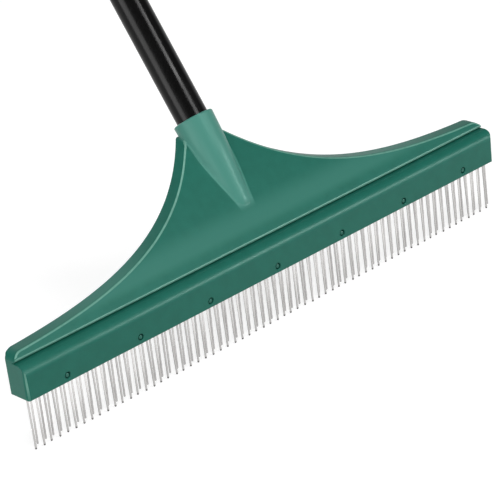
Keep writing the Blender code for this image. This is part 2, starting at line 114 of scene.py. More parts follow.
class Tree:
    """Adds nodes to a tree and links them."""

    def __init__(self, tree: bpy.types.NodeTree) -> None:
        """Keeps the tree that the nodes go into."""
        self.tree = tree

    def give(self, target: bpy.types.NodeSocket, value: object) -> None:
        """Feeds an input.

        Args:
            target: the input.
            value: an output to link to it, or a plain value to set it to.
        """
        if isinstance(value, bpy.types.NodeSocket):
            self.tree.links.new(value, target)
        else:
            target.default_value = value

    def add(self, kind: str, links: dict | None = None, **settings: object) -> bpy.types.Node:
        """Adds one node.

        Args:
            kind: Blender's name for the node type.
            links: the node's inputs by name or index, each with a value or with an output to link.
            settings: properties of the node itself.

        Returns:
            The new node.
        """
        node = self.tree.nodes.new(kind)
        for name, value in settings.items():
            setattr(node, name, value)
        for name, value in (links or {}).items():
            self.give(node.inputs[name] if isinstance(name, int) else socket_named(node.inputs, name), value)
        return node

    def math(self, operation: str, first: object, second: object = 0.0) -> bpy.types.NodeSocket:
        """Adds a math node and returns its output."""
        return self.add("ShaderNodeMath", {0: first, 1: second}, operation=operation).outputs[0]

    def product(self, first: object, second: object) -> bpy.types.NodeSocket:
        """Multiplies two values and returns the result's output."""
        return self.math("MULTIPLY", first, second)

    def ramp(
        self, value: object, low: float, high: float, low_to: float = 0.0, high_to: float = 1.0
    ) -> bpy.types.NodeSocket:
        """Maps a value smoothly from low..high to low_to..high_to, and holds it there past the ends."""
        links = {"Value": value, "From Min": low, "From Max": high, "To Min": low_to, "To Max": high_to}
        return self.add("ShaderNodeMapRange", links, interpolation_type="SMOOTHSTEP").outputs[0]

    def mix_colour(self, share: object, first: object, second: object) -> bpy.types.NodeSocket:
        """Mixes two colours, with share of the second, and returns the result's output."""
        return self.add("ShaderNodeMix", {0: share, 6: first, 7: second}, data_type="RGBA").outputs[2]


def opaque(colour: Sequence[float]) -> tuple[float, float, float, float]:
    """A colour with full alpha."""
    return (colour[0], colour[1], colour[2], 1.0)


class SurfaceMaterial:
    """A node material on object coordinates, ready for a finish to fill in."""

    def __init__(self, name: str, turn: float = 0.0, stretch: Sequence[float] = (1, 1, 1)) -> None:
        """Makes the material with its shader.

        Args:
            name: the material's name.
            turn: how far the pattern is turned about X, in radians.
            stretch: how much closer the pattern lies along each of its own axes.
        """
        self.material = bpy.data.materials.new(name)
        self.material.use_nodes = True
        self.tree = Tree(self.material.node_tree)
        self.shader = self.material.node_tree.nodes["Principled BSDF"]
        self.place = self.tree.add("ShaderNodeTexCoord").outputs["Object"]
        links = {"Vector": self.place, "Rotation": (turn, 0, 0), "Scale": stretch}
        self.pattern = self.tree.add("ShaderNodeMapping", links).outputs[0]

    def noise(self, size: float, detail: float = 2.0) -> bpy.types.NodeSocket:
        """A noise pattern whose features are about size across, in metres."""
        links = {"Vector": self.pattern, "Scale": 1.0 / size, "Detail": detail}
        return self.tree.add("ShaderNodeTexNoise", links).outputs[0]

    def height(self) -> bpy.types.NodeSocket:
        """The height of the surface point in the model's frame."""
        return self.tree.add("ShaderNodeSeparateXYZ", {0: self.place}).outputs[2]

    def set(self, name: str, value: object) -> None:
        """Sets or links one of the shader's inputs."""
        self.tree.give(self.shader.inputs[name], value)

    def varied(self, plain: float, pattern: bpy.types.NodeSocket, swing: Range) -> bpy.types.NodeSocket:
        """A plain value that follows a noise pattern, with swing added at the pattern's low and high end."""
        return self.tree.ramp(pattern, *MOST_NOISE, plain + swing[0], plain + swing[1])

    def bump(self, layers: Sequence[tuple[bpy.types.NodeSocket, float]]) -> None:
        """Stacks bump layers.

        Args:
            layers: each a height pattern and its depth in metres, from the broadest up.
        """
        normal = None
        for pattern, depth in layers:
            links = {"Height": pattern, "Distance": depth, "Strength": 1.0}
            if normal is not None:
                links["Normal"] = normal
            normal = self.tree.add("ShaderNodeBump", links).outputs[0]
        self.set("Normal", normal)


@dataclass
class HandleAxis:
    """The straight line that socket and handle are turned about."""

    lean: float = math.radians(33.15)
    foot_y: float = 4.1 * MM

    def place(self) -> Matrix:
        """Stands a turned piece's own axis on the handle's, heights counted from the bar's underside."""
        return Matrix.Translation((0, BAR_FRONT + self.foot_y, 0)) @ Matrix.Rotation(-self.lean, 4, "X")

    def split(self, point: Vector) -> Point:
        """How far a point lies from the axis, and how far along it."""
        local = self.place().inverted() @ point
        return (math.hypot(local.x, local.y), local.z)


@dataclass(frozen=True)
class PaintedLight:
    """Painted light: a paler colour on part of a moulding, standing in for a highlight or brighter light
    there.
    """

    colour: Colour

    def share(self, surface: SurfaceMaterial) -> bpy.types.NodeSocket:
        """How much of this colour shows at a surface point."""
        raise NotImplementedError


@dataclass(frozen=True)
class SocketPaintedLight(PaintedLight):
    """Painted light on the socket: a paler colour that stands in for the highlights and brighter light it
    catches.
    """

    axis: HandleAxis
    taper: Range = (50 * MM, 100 * MM)
    radii: Range = (9.85 * MM, 14.6 * MM)
    margin: Range = (0.7 * MM, 1.8 * MM)
    foot: Range = (47 * MM, 55 * MM)

    def share(self, surface: SurfaceMaterial) -> bpy.types.NodeSocket:
        """Full as far out as the socket's own surface, fading just past it and at its foot.

        Args:
            surface: the material that the painted light belongs to.

        Returns:
            The share as it varies over the surface.
        """
        tree = surface.tree
        start = (0, BAR_FRONT + self.axis.foot_y, 0)
        from_start = tree.add("ShaderNodeVectorMath", {0: surface.place, 1: start}, operation="SUBTRACT")
        links = {"Vector": from_start.outputs[0], "Rotation": (self.axis.lean, 0, 0)}
        turned = tree.add("ShaderNodeMapping", links).outputs[0]
        local = tree.add("ShaderNodeSeparateXYZ", {0: turned}).outputs
        squares = [tree.product(local[index], local[index]) for index in (0, 1)]
        away = tree.math("SQRT", tree.math("ADD", *squares))
        past = tree.math("SUBTRACT", away, tree.ramp(local[2], *self.taper, *self.radii))
        near = tree.ramp(past, *self.margin, 1.0, 0.0)
        return tree.product(near, tree.ramp(local[2], *self.foot))


@dataclass(frozen=True)
class PlateHighlightBand(PaintedLight):
    """A painted highlight: a pale band along the foot of the plate."""

    low: Range = (31 * MM, 37 * MM)
    high: Range = (40 * MM, 52 * MM)

    def share(self, surface: SurfaceMaterial) -> bpy.types.NodeSocket:
        """Full between the two heights, and gone beyond them."""
        tree, height = surface.tree, surface.height()
        return tree.product(tree.ramp(height, *self.low), tree.ramp(height, *self.high, 1.0, 0.0))


@dataclass(frozen=True)
class EdgeHighlight(PaintedLight):
    """Painted highlights that leave a moulding's rounded edges pale, less so towards the bar's foot."""

    fade: Range = (-3 * MM, 12 * MM)
    patch_size: float = 5 * MM
    patch_range: Range = (0.3, 0.6)
    least: float = 0.75

    def share(self, surface: SurfaceMaterial) -> bpy.types.NodeSocket:
        """Patchy, and fading downwards."""
        patches = surface.tree.ramp(surface.noise(self.patch_size, 3.0), *self.patch_range, self.least, 1.0)
        return surface.tree.product(patches, surface.tree.ramp(surface.height(), *self.fade))


@dataclass(frozen=True)
class MouldedPlastic:
    """Injection moulded plastic with a fine tool texture and a faint mottle."""

    name: str
    colour: Colour
    shade: Colour
    roughness: float
    gloss: float
    # painted light: paler patches laid over the mottle, standing in for highlights and brighter light
    painted_lights: tuple[PaintedLight, ...] = ()
    gloss_tint: Colour = (1.0, 1.0, 1.0)
    mottle_size: float = 9 * MM
    speck_size: float = 1 * MM
    speck_share: float = 0.35
    mottle_range: Range = (0.32, 0.68)
    roughness_swing: Range = (-0.03, 0.04)
    grain_size: float = 0.9 * MM
    grain_depth: float = 0.018 * MM
    sink_size: float = 30 * MM
    sink_depth: float = 0.05 * MM

    def make(self) -> bpy.types.Material:
        """Builds the material.

        Returns:
            The material.
        """
        surface = SurfaceMaterial(self.name)
        tree = surface.tree
        mottle = surface.noise(self.mottle_size, 3.0)
        specks = surface.noise(self.speck_size)
        weighed = (tree.product(mottle, 1 - self.speck_share), tree.product(specks, self.speck_share))
        share = tree.ramp(tree.math("ADD", *weighed), *self.mottle_range)
        colour = tree.mix_colour(share, opaque(self.shade), opaque(self.colour))
        # lays each patch of painted light over the mottle
        for painted_light in self.painted_lights:
            colour = tree.mix_colour(painted_light.share(surface), colour, opaque(painted_light.colour))
        surface.set("Base Color", colour)
        surface.set("Roughness", surface.varied(self.roughness, specks, self.roughness_swing))
        surface.set("Specular IOR Level", self.gloss)
        surface.set("Specular Tint", opaque(self.gloss_tint))
        sinks = surface.noise(self.sink_size, 1.0)
        surface.bump(((sinks, self.sink_depth), (surface.noise(self.grain_size), self.grain_depth)))
        return surface.material


@dataclass(frozen=True)
class SatinCoating:
    """A thin dark coating over drawn steel tube, with a slight flow along the tube."""

    name: str
    colour: Colour
    roughness: float
    gloss: float
    lean: float
    streak_size: float = 1.6 * MM
    streak_length: float = 40.0
    streak_range: Range = (0.45, 0.8)
    streak_share: float = 0.4
    streak_lift: float = 2.2
    dust_size: float = 19.2 * MM
    roughness_swing: Range = (-0.03, 0.05)
    peel_size: float = 2.5 * MM
    peel_depth: float = 0.012 * MM

    def make(self) -> bpy.types.Material:
        """Builds the material.

        Returns:
            The material.
        """
        surface = SurfaceMaterial(self.name, self.lean, (1, 1, 1 / self.streak_length))
        tree = surface.tree
        streaks = tree.ramp(surface.noise(self.streak_size), *self.streak_range)
        lighter = [self.streak_lift * part for part in self.colour]
        share = tree.product(streaks, self.streak_share)
        surface.set("Base Color", tree.mix_colour(share, opaque(self.colour), opaque(lighter)))
        dust = surface.noise(self.dust_size, 3.0)
        surface.set("Roughness", surface.varied(self.roughness, dust, self.roughness_swing))
        surface.set("Specular IOR Level", self.gloss)
        surface.bump(((surface.noise(self.peel_size, 1.0), self.peel_depth),))
        return surface.material


@dataclass(frozen=True)
class DrawnWire:
    """Bright drawn spring wire, duller and darker towards its rounded tip, with painted shade on the tip
    itself.
    """

    name: str
    colour: Colour
    painted_tip_shade: Colour
    roughness: float
    tip_height: float
    dark_length: float = 1.6 * MM
    bright_above: float = -8 * MM
    streak_size: float = 0.4 * MM
    streak_length: float = 14.0
    streak_depth: float = 0.01 * MM
    patch_size: float = 8 * MM
    patch_range: Range = (0.35, 0.65)
    dull_share: float = 0.64
    roughness_swing: Range = (-0.05, 0.08)
    tip_roughness: float = 0.55

    def make(self) -> bpy.types.Material:
        """Builds the material.

        Returns:
            The material.
        """
        surface = SurfaceMaterial(self.name, 0.0, (1, 1, 1 / self.streak_length))
        tree, height = surface.tree, surface.height()
        streaks = surface.noise(self.streak_size)
        patches = tree.ramp(surface.noise(self.patch_size), *self.patch_range)
        duller = [self.dull_share * part for part in self.colour]
        share = tree.product(patches, tree.ramp(height, self.tip_height, self.bright_above))
        wire = tree.mix_colour(share, opaque(duller), opaque(self.colour))
        # painted shade: the rounded tip is darkened
        at_tip = tree.ramp(height, self.tip_height, self.tip_height + self.dark_length, 1.0, 0.0)
        surface.set("Base Color", tree.mix_colour(at_tip, wire, opaque(self.painted_tip_shade)))
        surface.set("Metallic", 1.0)
        rough = surface.varied(self.roughness, streaks, self.roughness_swing)
        surface.set("Roughness", tree.math("MAXIMUM", rough, tree.product(at_tip, self.tip_roughness)))
        surface.bump(((streaks, self.streak_depth),))
        return surface.material


# Outlines


def within(value: float, limits: Range) -> bool:
    """Whether a value lies between two limits."""
    return limits[0] < value < limits[1]


def evenly(first: float, last: float, steps: int) -> list[float]:
    """Evenly spaced values from first to last, both included."""
    return [first + step / steps * (last - first) for step in range(steps + 1)]


def arc(middle: Point, reach: float | Point, first: float, last: float, steps: int) -> Outline:
    """Points along an arc or a quarter ellipse.

    Args:
        middle: its centre.
        reach: its radius, or its radius across and up.
        first: the starting angle in degrees.
        last: the final angle.
        steps: how many stretches it has.

    Returns:
        The points, both ends included.
    """
    across, up = reach if isinstance(reach, tuple) else (reach, reach)
    angles = [math.radians(angle) for angle in evenly(first, last, steps)]
    return [(middle[0] + across * math.cos(a), middle[1] + up * math.sin(a)) for a in angles]


def bezier(start: Point, pull_a: Point, pull_b: Point, end: Point, steps: int) -> Outline:
    """Points along a cubic curve.

    Args:
        start: its first point.
        pull_a: the point that it sets out towards.
        pull_b: the point that it comes in from.
        end: its last point.
        steps: how many stretches it has.

    Returns:
        The points, both ends included.
    """
    points = []
    for t in evenly(0.0, 1.0, steps):
        weights = ((1 - t) ** 3, 3 * (1 - t) ** 2 * t, 3 * (1 - t) * t**2, t**3)
        pairs = list(zip(weights, (start, pull_a, pull_b, end)))
        points.append((sum(w * p[0] for w, p in pairs), sum(w * p[1] for w, p in pairs)))
    return points


def mirrored(half: Outline) -> Outline:
    """A right-hand half outline with its left-hand half added."""
    return half + [(-across, up) for across, up in reversed(half)]


def drawn_in(points: Outline, inset: float) -> Outline:
    """Moves an open outline inwards, square to its own run.

    Args:
        points: the outline.
        inset: how far it moves.

    Returns:
        The moved outline.
    """
    moved = []
    for index, (across, up) in enumerate(points):
        before, after = points[max(index - 1, 0)], points[min(index + 1, len(points) - 1)]
        run = Vector((after[0] - before[0], after[1] - before[1])).normalized()
        moved.append((across - inset * run.y, up + inset * run.x))
    return moved


# Solids


def object_of(name: str, mesh: bpy.types.Mesh) -> bpy.types.Object:
    """Links a mesh into the scene.

    Args:
        name: the object's name.
        mesh: its mesh.

    Returns:
        An object at the origin.
    """
    obj = bpy.data.objects.new(name, mesh)
    bpy.context.scene.collection.objects.link(obj)
    return obj


def filled(name: str, work: bmesh.types.BMesh) -> bpy.types.Object:
    """Turns a bmesh into an object and frees it.

    Args:
        name: the object's name.
        work: the bmesh.

    Returns:
        An object at the origin.
    """
    mesh = bpy.data.meshes.new(name)
    work.to_mesh(mesh)
    work.free()
    return object_of(name, mesh)


@contextmanager
def edited(obj: bpy.types.Object) -> Iterator[bmesh.types.BMesh]:
    """Opens an object's mesh for a with statement and writes it back at its end.

    Args:
        obj: the object.

    Yields:
        The mesh, open for edits.
    """
    work = bmesh.new()
    work.from_mesh(obj.data)
    yield work
    work.to_mesh(obj.data)
    work.free()


def join_close(work: bmesh.types.BMesh) -> None:
    """Joins the points that lie together."""
    bmesh.ops.remove_doubles(work, verts=work.verts, dist=JOIN_DISTANCE)


def bevel(
    work: bmesh.types.BMesh,
    edges: Sequence[bmesh.types.BMEdge],
    rounding: float,
    segments: int = 2,
    clamp: bool = False,
) -> list[bmesh.types.BMFace]:
    """Rounds edges.

    Args:
        work: the mesh that they belong to.
        edges: the edges.
        rounding: how far the rounding reaches from an edge.
        segments: how many steps it has.
        clamp: whether it stops short where two roundings would overlap.

    Returns:
        The faces of the roundings.
    """
    sizes = {"offset": rounding, "segments": segments, "profile": 0.5, "clamp_overlap": clamp}
    return bmesh.ops.bevel(work, geom=edges, affect="EDGES", **sizes)["faces"]


def prism(name: str, outline: Outline, low: float, high: float, draw: Draw) -> bpy.types.Object:
    """A flat outline given a thickness.

    Args:
        name: the object's name.
        outline: its points, in the plane that it is drawn in.
        low: where the thickness starts, along the plane's own third axis.
        high: where it ends.
        draw: the plane.

    Returns:
        A closed mesh object at the origin.
    """
    work = bmesh.new()
    corners = [work.verts.new((across, up, low)) for across, up in outline]
    face = work.faces.new(corners)
    grown = bmesh.ops.extrude_face_region(work, geom=[face])
    lifted = [item for item in grown["geom"] if isinstance(item, bmesh.types.BMVert)]
    bmesh.ops.translate(work, verts=lifted, vec=(0, 0, high - low))
    bmesh.ops.transform(work, matrix=draw.value, verts=work.verts)
    bmesh.ops.recalc_face_normals(work, faces=work.faces)
    return filled(name, work)


def tower(name: str, levels: Sequence[tuple[float, Outline]]) -> bpy.types.Object:
    """A solid through like outlines, each at its own height.

    Args:
        name: the object's name.
        levels: heights with their outlines, from the lowest up, drawn back from the bar's front.

    Returns:
        A closed mesh object at the origin.
    """
    work = bmesh.new()
    rings = []
    for height, outline in levels:
        rings.append([work.verts.new((across, BAR_FRONT + back, height)) for across, back in outline])
    for lower, upper in zip(rings, rings[1:]):
        for index in range(len(lower)):
            work.faces.new((lower[index - 1], lower[index], upper[index], upper[index - 1]))
    work.faces.new(rings[0])
    work.faces.new(rings[-1])
    bmesh.ops.recalc_face_normals(work, faces=work.faces)
    return filled(name, work)


def block(
    name: str, low: Sequence[float], high: Sequence[float], place: Matrix, rounding: float = 0.0
) -> bpy.types.Object:
    """A box between two corners.

    Args:
        name: the object's name.
        low: its lowest corner.
        high: its highest corner.
        place: what the corners are drawn in.
        rounding: the radius of its edges, or nothing.

    Returns:
        A closed mesh object at the origin.
    """
    work = bmesh.new()
    size = [top - bottom for bottom, top in zip(low, high)]
    middle = Vector([(top + bottom) / 2 for bottom, top in zip(low, high)])
    bmesh.ops.create_cube(work, size=1, matrix=Matrix.Translation(middle) @ Matrix.Diagonal((*size, 1)))
    if rounding:
        bevel(work, list(work.edges), rounding)
    bmesh.ops.transform(work, matrix=place, verts=work.verts)
    return filled(name, work)


def lathe(name: str, profile: Outline, place: Matrix, sides: int, closed: bool = False) -> bpy.types.Object:
    """A profile of (radius, height) turned about an axis.

    Args:
        name: the object's name.
        profile: the points from the top down the outer side.
        place: stands the axis, local Z, in the model's frame.
        sides: steps round the axis.
        closed: whether the last point joins the first, as on a tube.

    Returns:
        A closed mesh object at the origin.
    """
    work = bmesh.new()
    points = [work.verts.new((radius, 0, height)) for radius, height in profile]
    edges = [work.edges.new(pair) for pair in zip(points, points[1:])]
    if closed:
        edges.append(work.edges.new((points[-1], points[0])))
    turned = {"geom": points + edges, "axis": (0, 0, 1), "cent": (0, 0, 0), "angle": 2 * math.pi}
    bmesh.ops.spin(work, steps=sides, use_merge=True, **turned)
    join_close(work)
    bmesh.ops.transform(work, matrix=place, verts=work.verts)
    bmesh.ops.recalc_face_normals(work, faces=work.faces)
    return filled(name, work)


def settle(obj: bpy.types.Object) -> None:
    """Replaces an object's mesh by what its modifiers make of it.

    Args:
        obj: the object, which is left with no modifier.
    """
    bpy.context.view_layer.update()
    evaluated = obj.evaluated_get(bpy.context.evaluated_depsgraph_get())
    mesh = bpy.data.meshes.new_from_object(evaluated)
    obj.modifiers.clear()
    obj.data = mesh


def soften(obj: bpy.types.Object, width: float, segments: int, sharp: float = 30.0) -> None:
    """Rounds the edges of a finished solid.

    Args:
        obj: the solid.
        width: how far the rounding reaches from an edge.
        segments: how many steps it has.
        sharp: edges that turn more than this many degrees are rounded.
    """
    edges = obj.modifiers.new("edges", "BEVEL")
    edges.width = width
    edges.segments = segments
    edges.angle_limit = math.radians(sharp)
    settle(obj)


def in_order(mesh: bpy.types.Mesh) -> bpy.types.Mesh:
    """Lists a mesh's points and faces by place, because a boolean lists them anew in each run.

    Args:
        mesh: the mesh.

    Returns:
        The same mesh in its new order.
    """
    places = [tuple(vert.co) for vert in mesh.vertices]
    order = sorted(range(len(places)), key=places.__getitem__)
    rank = {old: new for new, old in enumerate(order)}
    faces = []
    for face in mesh.polygons:
        ring = [rank[index] for index in face.vertices]
        start = ring.index(min(ring))
        faces.append((ring[start:] + ring[:start], face.material_index))
    faces.sort()
    fresh = bpy.data.meshes.new(mesh.name)
    fresh.from_pydata([places[index] for index in order], [], [ring for ring, mark in faces])
    fresh.polygons.foreach_set("material_index", [mark for ring, mark in faces])
    return fresh


def combine(obj: bpy.types.Object, other: bpy.types.Object, cut: Cut) -> None:
    """Cuts a solid by another, joins the two or keeps what they share.

    Args:
        obj: the solid that is changed.
        other: the solid that changes it, which is removed.
        cut: what is done.
    """
    boolean = obj.modifiers.new(cut.name, "BOOLEAN")
    boolean.operation = cut.value
    boolean.object = other
    settle(obj)
    if not obj.data.polygons:
        raise RuntimeError(f"nothing is left of {obj.name} after {other.name}")
    obj.data = in_order(obj.data)
    bpy.data.objects.remove(other, do_unlink=True)


def weld(obj: bpy.types.Object) -> None:
    """Joins the points that cuts have left side by side, which closes the last fine gaps.

    Args:
        obj: the solid that was cut.
    """
    with edited(obj) as work:
        join_close(work)
        log.info("%s: %d open edges", obj.name, sum(not edge.is_manifold for edge in work.edges))


def finish_piece(
    obj: bpy.types.Object,
    material: bpy.types.Material,
    nodes: Sequence[str],
    sharp: float = 32.0,
    painted_highlight: bpy.types.Material | None = None,
) -> bpy.types.Object:
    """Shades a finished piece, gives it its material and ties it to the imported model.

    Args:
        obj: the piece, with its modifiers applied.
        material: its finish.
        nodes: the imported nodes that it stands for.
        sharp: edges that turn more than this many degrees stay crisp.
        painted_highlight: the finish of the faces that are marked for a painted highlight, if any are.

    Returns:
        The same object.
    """
    marks = [face.material_index for face in obj.data.polygons]
    obj.data.materials.clear()
    obj.data.materials.append(material)
    if painted_highlight:
        obj.data.materials.append(painted_highlight)
        obj.data.polygons.foreach_set("material_index", marks)
        log.info("%s: %d worn faces", obj.name, marks.count(PAINTED_HIGHLIGHT_INDEX))
    obj.data.shade_smooth()
    obj.data.set_sharp_from_angle(angle=math.radians(sharp))
    even = obj.modifiers.new("even shading", "WEIGHTED_NORMAL")
    even.keep_sharp = True
    settle(obj)
    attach(obj, BODY)
    if nodes:
        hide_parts(*nodes)
    log.info("%s: %d faces", obj.name, len(obj.data.polygons))
    return obj


# Rows of like pieces


class RowTree(Tree):
    """A geometry tree that sets out like shapes in a row along X."""

    def __init__(self, name: str) -> None:
        """Makes an empty geometry tree with a geometry output.

        Args:
            name: the tree's name.
        """
        super().__init__(bpy.data.node_groups.new(name, "GeometryNodeTree"))
        self.tree.interface.new_socket("Geometry", in_out="OUTPUT", socket_type="NodeSocketGeometry")
        self.given = self.tree.nodes.new("NodeGroupInput")
        self.values: dict[str, object] = {}
        self.parts: list[bpy.types.NodeSocket] = []

    def size(self, name: str, value: object, kind: str = "NodeSocketFloat") -> bpy.types.NodeSocket:
        """Adds a named input to the tree.

        Args:
            name: the input's name.
            value: what it is set to.
            kind: its socket type.

        Returns:
            The input as seen inside the tree.
        """
        item = self.tree.interface.new_socket(name, in_out="INPUT", socket_type=kind)
        self.values[item.identifier] = value
        return next(out for out in self.given.outputs if out.identifier == item.identifier)

    def vector(self, x: object = 0.0, y: object = 0.0, z: object = 0.0) -> bpy.types.NodeSocket:
        """A vector from three values or outputs."""
        return self.add("ShaderNodeCombineXYZ", {0: x, 1: y, 2: z}).outputs[0]

    def line(self, count: int, pitch: float) -> bpy.types.NodeSocket:
        """Points in a row along X, from named inputs for their number and pitch.

        Args:
            count: how many points there are.
            pitch: how far apart they are.

        Returns:
            The points.
        """
        number = self.size("Count", count, "NodeSocketInt")
        links = {"Count": number, "Offset": self.vector(self.size("Pitch", pitch))}
        return self.add("GeometryNodeMeshLine", links, mode="OFFSET").outputs[0]

    def object_geometry(self, obj: bpy.types.Object) -> bpy.types.NodeSocket:
        """Another object's mesh, for use in this tree."""
        source = self.size("Shape", obj, "NodeSocketObject")
        return socket_named(self.add("GeometryNodeObjectInfo", {"Object": source}).outputs, "Geometry")

    def random_turn(self, most: Sequence[float], seed: int) -> bpy.types.NodeSocket:
        """A small random turn for each instance.

        Args:
            most: the largest turn about each axis, in radians, either way.
            seed: the number that the draws start from.

        Returns:
            The turn.
        """
        node = self.add("FunctionNodeRandomValue", data_type="FLOAT_VECTOR")
        node.inputs[0].default_value = tuple(-part for part in most)
        node.inputs[1].default_value = tuple(most)
        self.give(socket_named(node.inputs, "Seed"), self.size(f"Seed {seed}", seed, "NodeSocketInt"))
        return node.outputs[0]

    def instances(
        self,
        shape: bpy.types.NodeSocket,
        points: bpy.types.NodeSocket,
        turn: object = (0, 0, 0),
        offset: bpy.types.NodeSocket | None = None,
    ) -> None:
        """Sets a shape on each point.

        Args:
            shape: the shape.
            points: the points.
            turn: how each shape is turned.
            offset: how far each point is moved first, if at all.
        """
        if offset is not None:
            points = self.add("GeometryNodeSetPosition", {"Geometry": points, "Offset": offset}).outputs[0]
        links = {"Points": points, "Instance": shape, "Rotation": turn}
        self.parts.append(self.add("GeometryNodeInstanceOnPoints", links).outputs[0])

    def bake(self, name: str, where: Matrix, material: bpy.types.Material) -> bpy.types.Object:
        """Finishes the tree, runs it and keeps its result as a plain mesh.

        Args:
            name: the piece's name.
            where: where the row starts.
            material: set on the result inside the tree.

        Returns:
            An object at the origin with no modifier.
        """
        joined = self.add("GeometryNodeJoinGeometry")
        for part in self.parts:
            self.tree.links.new(part, joined.inputs[0])
        real = self.add("GeometryNodeRealizeInstances", {"Geometry": joined.outputs[0]})
        dressed = self.add("GeometryNodeSetMaterial", {"Geometry": real.outputs[0], "Material": material})
        self.add("NodeGroupOutput", {0: dressed.outputs[0]})
        obj = object_of(name, bpy.data.meshes.new(name))
        modifier = obj.modifiers.new(name, "NODES")
        modifier.node_group = self.tree
        for identifier, value in self.values.items():
            modifier[identifier] = value
        settle(obj)
        obj.data.transform(where)
        return obj


# The object


@dataclass
class LockPins:
    """The seven pins that lock the tine rail in its slot."""

    count: int = 7
    pitch: float = 64.79 * MM
    height: float = 5.04 * MM
    hole_radius: float = 2.45 * MM
    hole_mouth: float = 0.25 * MM
    hole_spare: float = 0.2 * MM
    radius: float = 2.15 * MM
    head_radius: float = 1.5 * MM
    head_end: float = 2.2 * MM
    recess: float = 0.35 * MM
    dome: float = 0.45 * MM
    end: float = 4.2 * MM
    sides: int = 32

    @property
    def first(self) -> float:
        """Where the first pin stands."""
        return -(self.count - 1) / 2 * self.pitch

    def place(self, number: int) -> Matrix:
        """Stands a turned piece along Y in one pin hole, its top towards the front."""
        where = ((number - (self.count - 1) / 2) * self.pitch, BAR_FRONT, self.height)
        return Matrix.Translation(where) @ Matrix.Rotation(math.radians(90), 4, "X")

    def holes(self) -> list[bpy.types.Object]:
        """Makes the holes in the bar's front, each with a slightly opened mouth.

        Returns:
            One solid to cut away for each hole.
        """
        depth = self.end + self.hole_spare
        profile = [
            (0.0, PAST),
            (self.hole_radius + self.hole_mouth, PAST),
            (self.hole_radius + self.hole_mouth, 0.0),
            (self.hole_radius, -self.hole_mouth),
            (self.hole_radius, -depth),
            (0.0, -depth),
        ]
        return [lathe(f"pin hole {n}", profile, self.place(n), self.sides) for n in range(self.count)]

    def build(self, material: bpy.types.Material) -> bpy.types.Object:
        """Makes all seven pins as one piece of separate turned solids.

        Args:
            material: the pins' finish.

        Returns:
            The finished piece.
        """
        low = -self.recess - self.dome
        profile = arc((0.0, low), (self.head_radius, self.dome), 90, 0, steps=8)
        profile += [(self.head_radius, -self.head_end), (self.radius, -self.head_end)]
        profile += [(self.radius, -self.end), (0.0, -self.end)]
        pin = lathe("pin", profile, Matrix.Identity(4), self.sides)
        row = RowTree("pin_row")
        row.instances(row.object_geometry(pin), row.line(self.count, self.pitch), (math.radians(90), 0, 0))
        pins = row.bake("lock_pins", Matrix.Translation((self.first, BAR_FRONT, self.height)), material)
        bpy.data.objects.remove(pin, do_unlink=True)
        return finish_piece(pins, material, [f"lock_pin_{n + 1}" for n in range(self.count)])


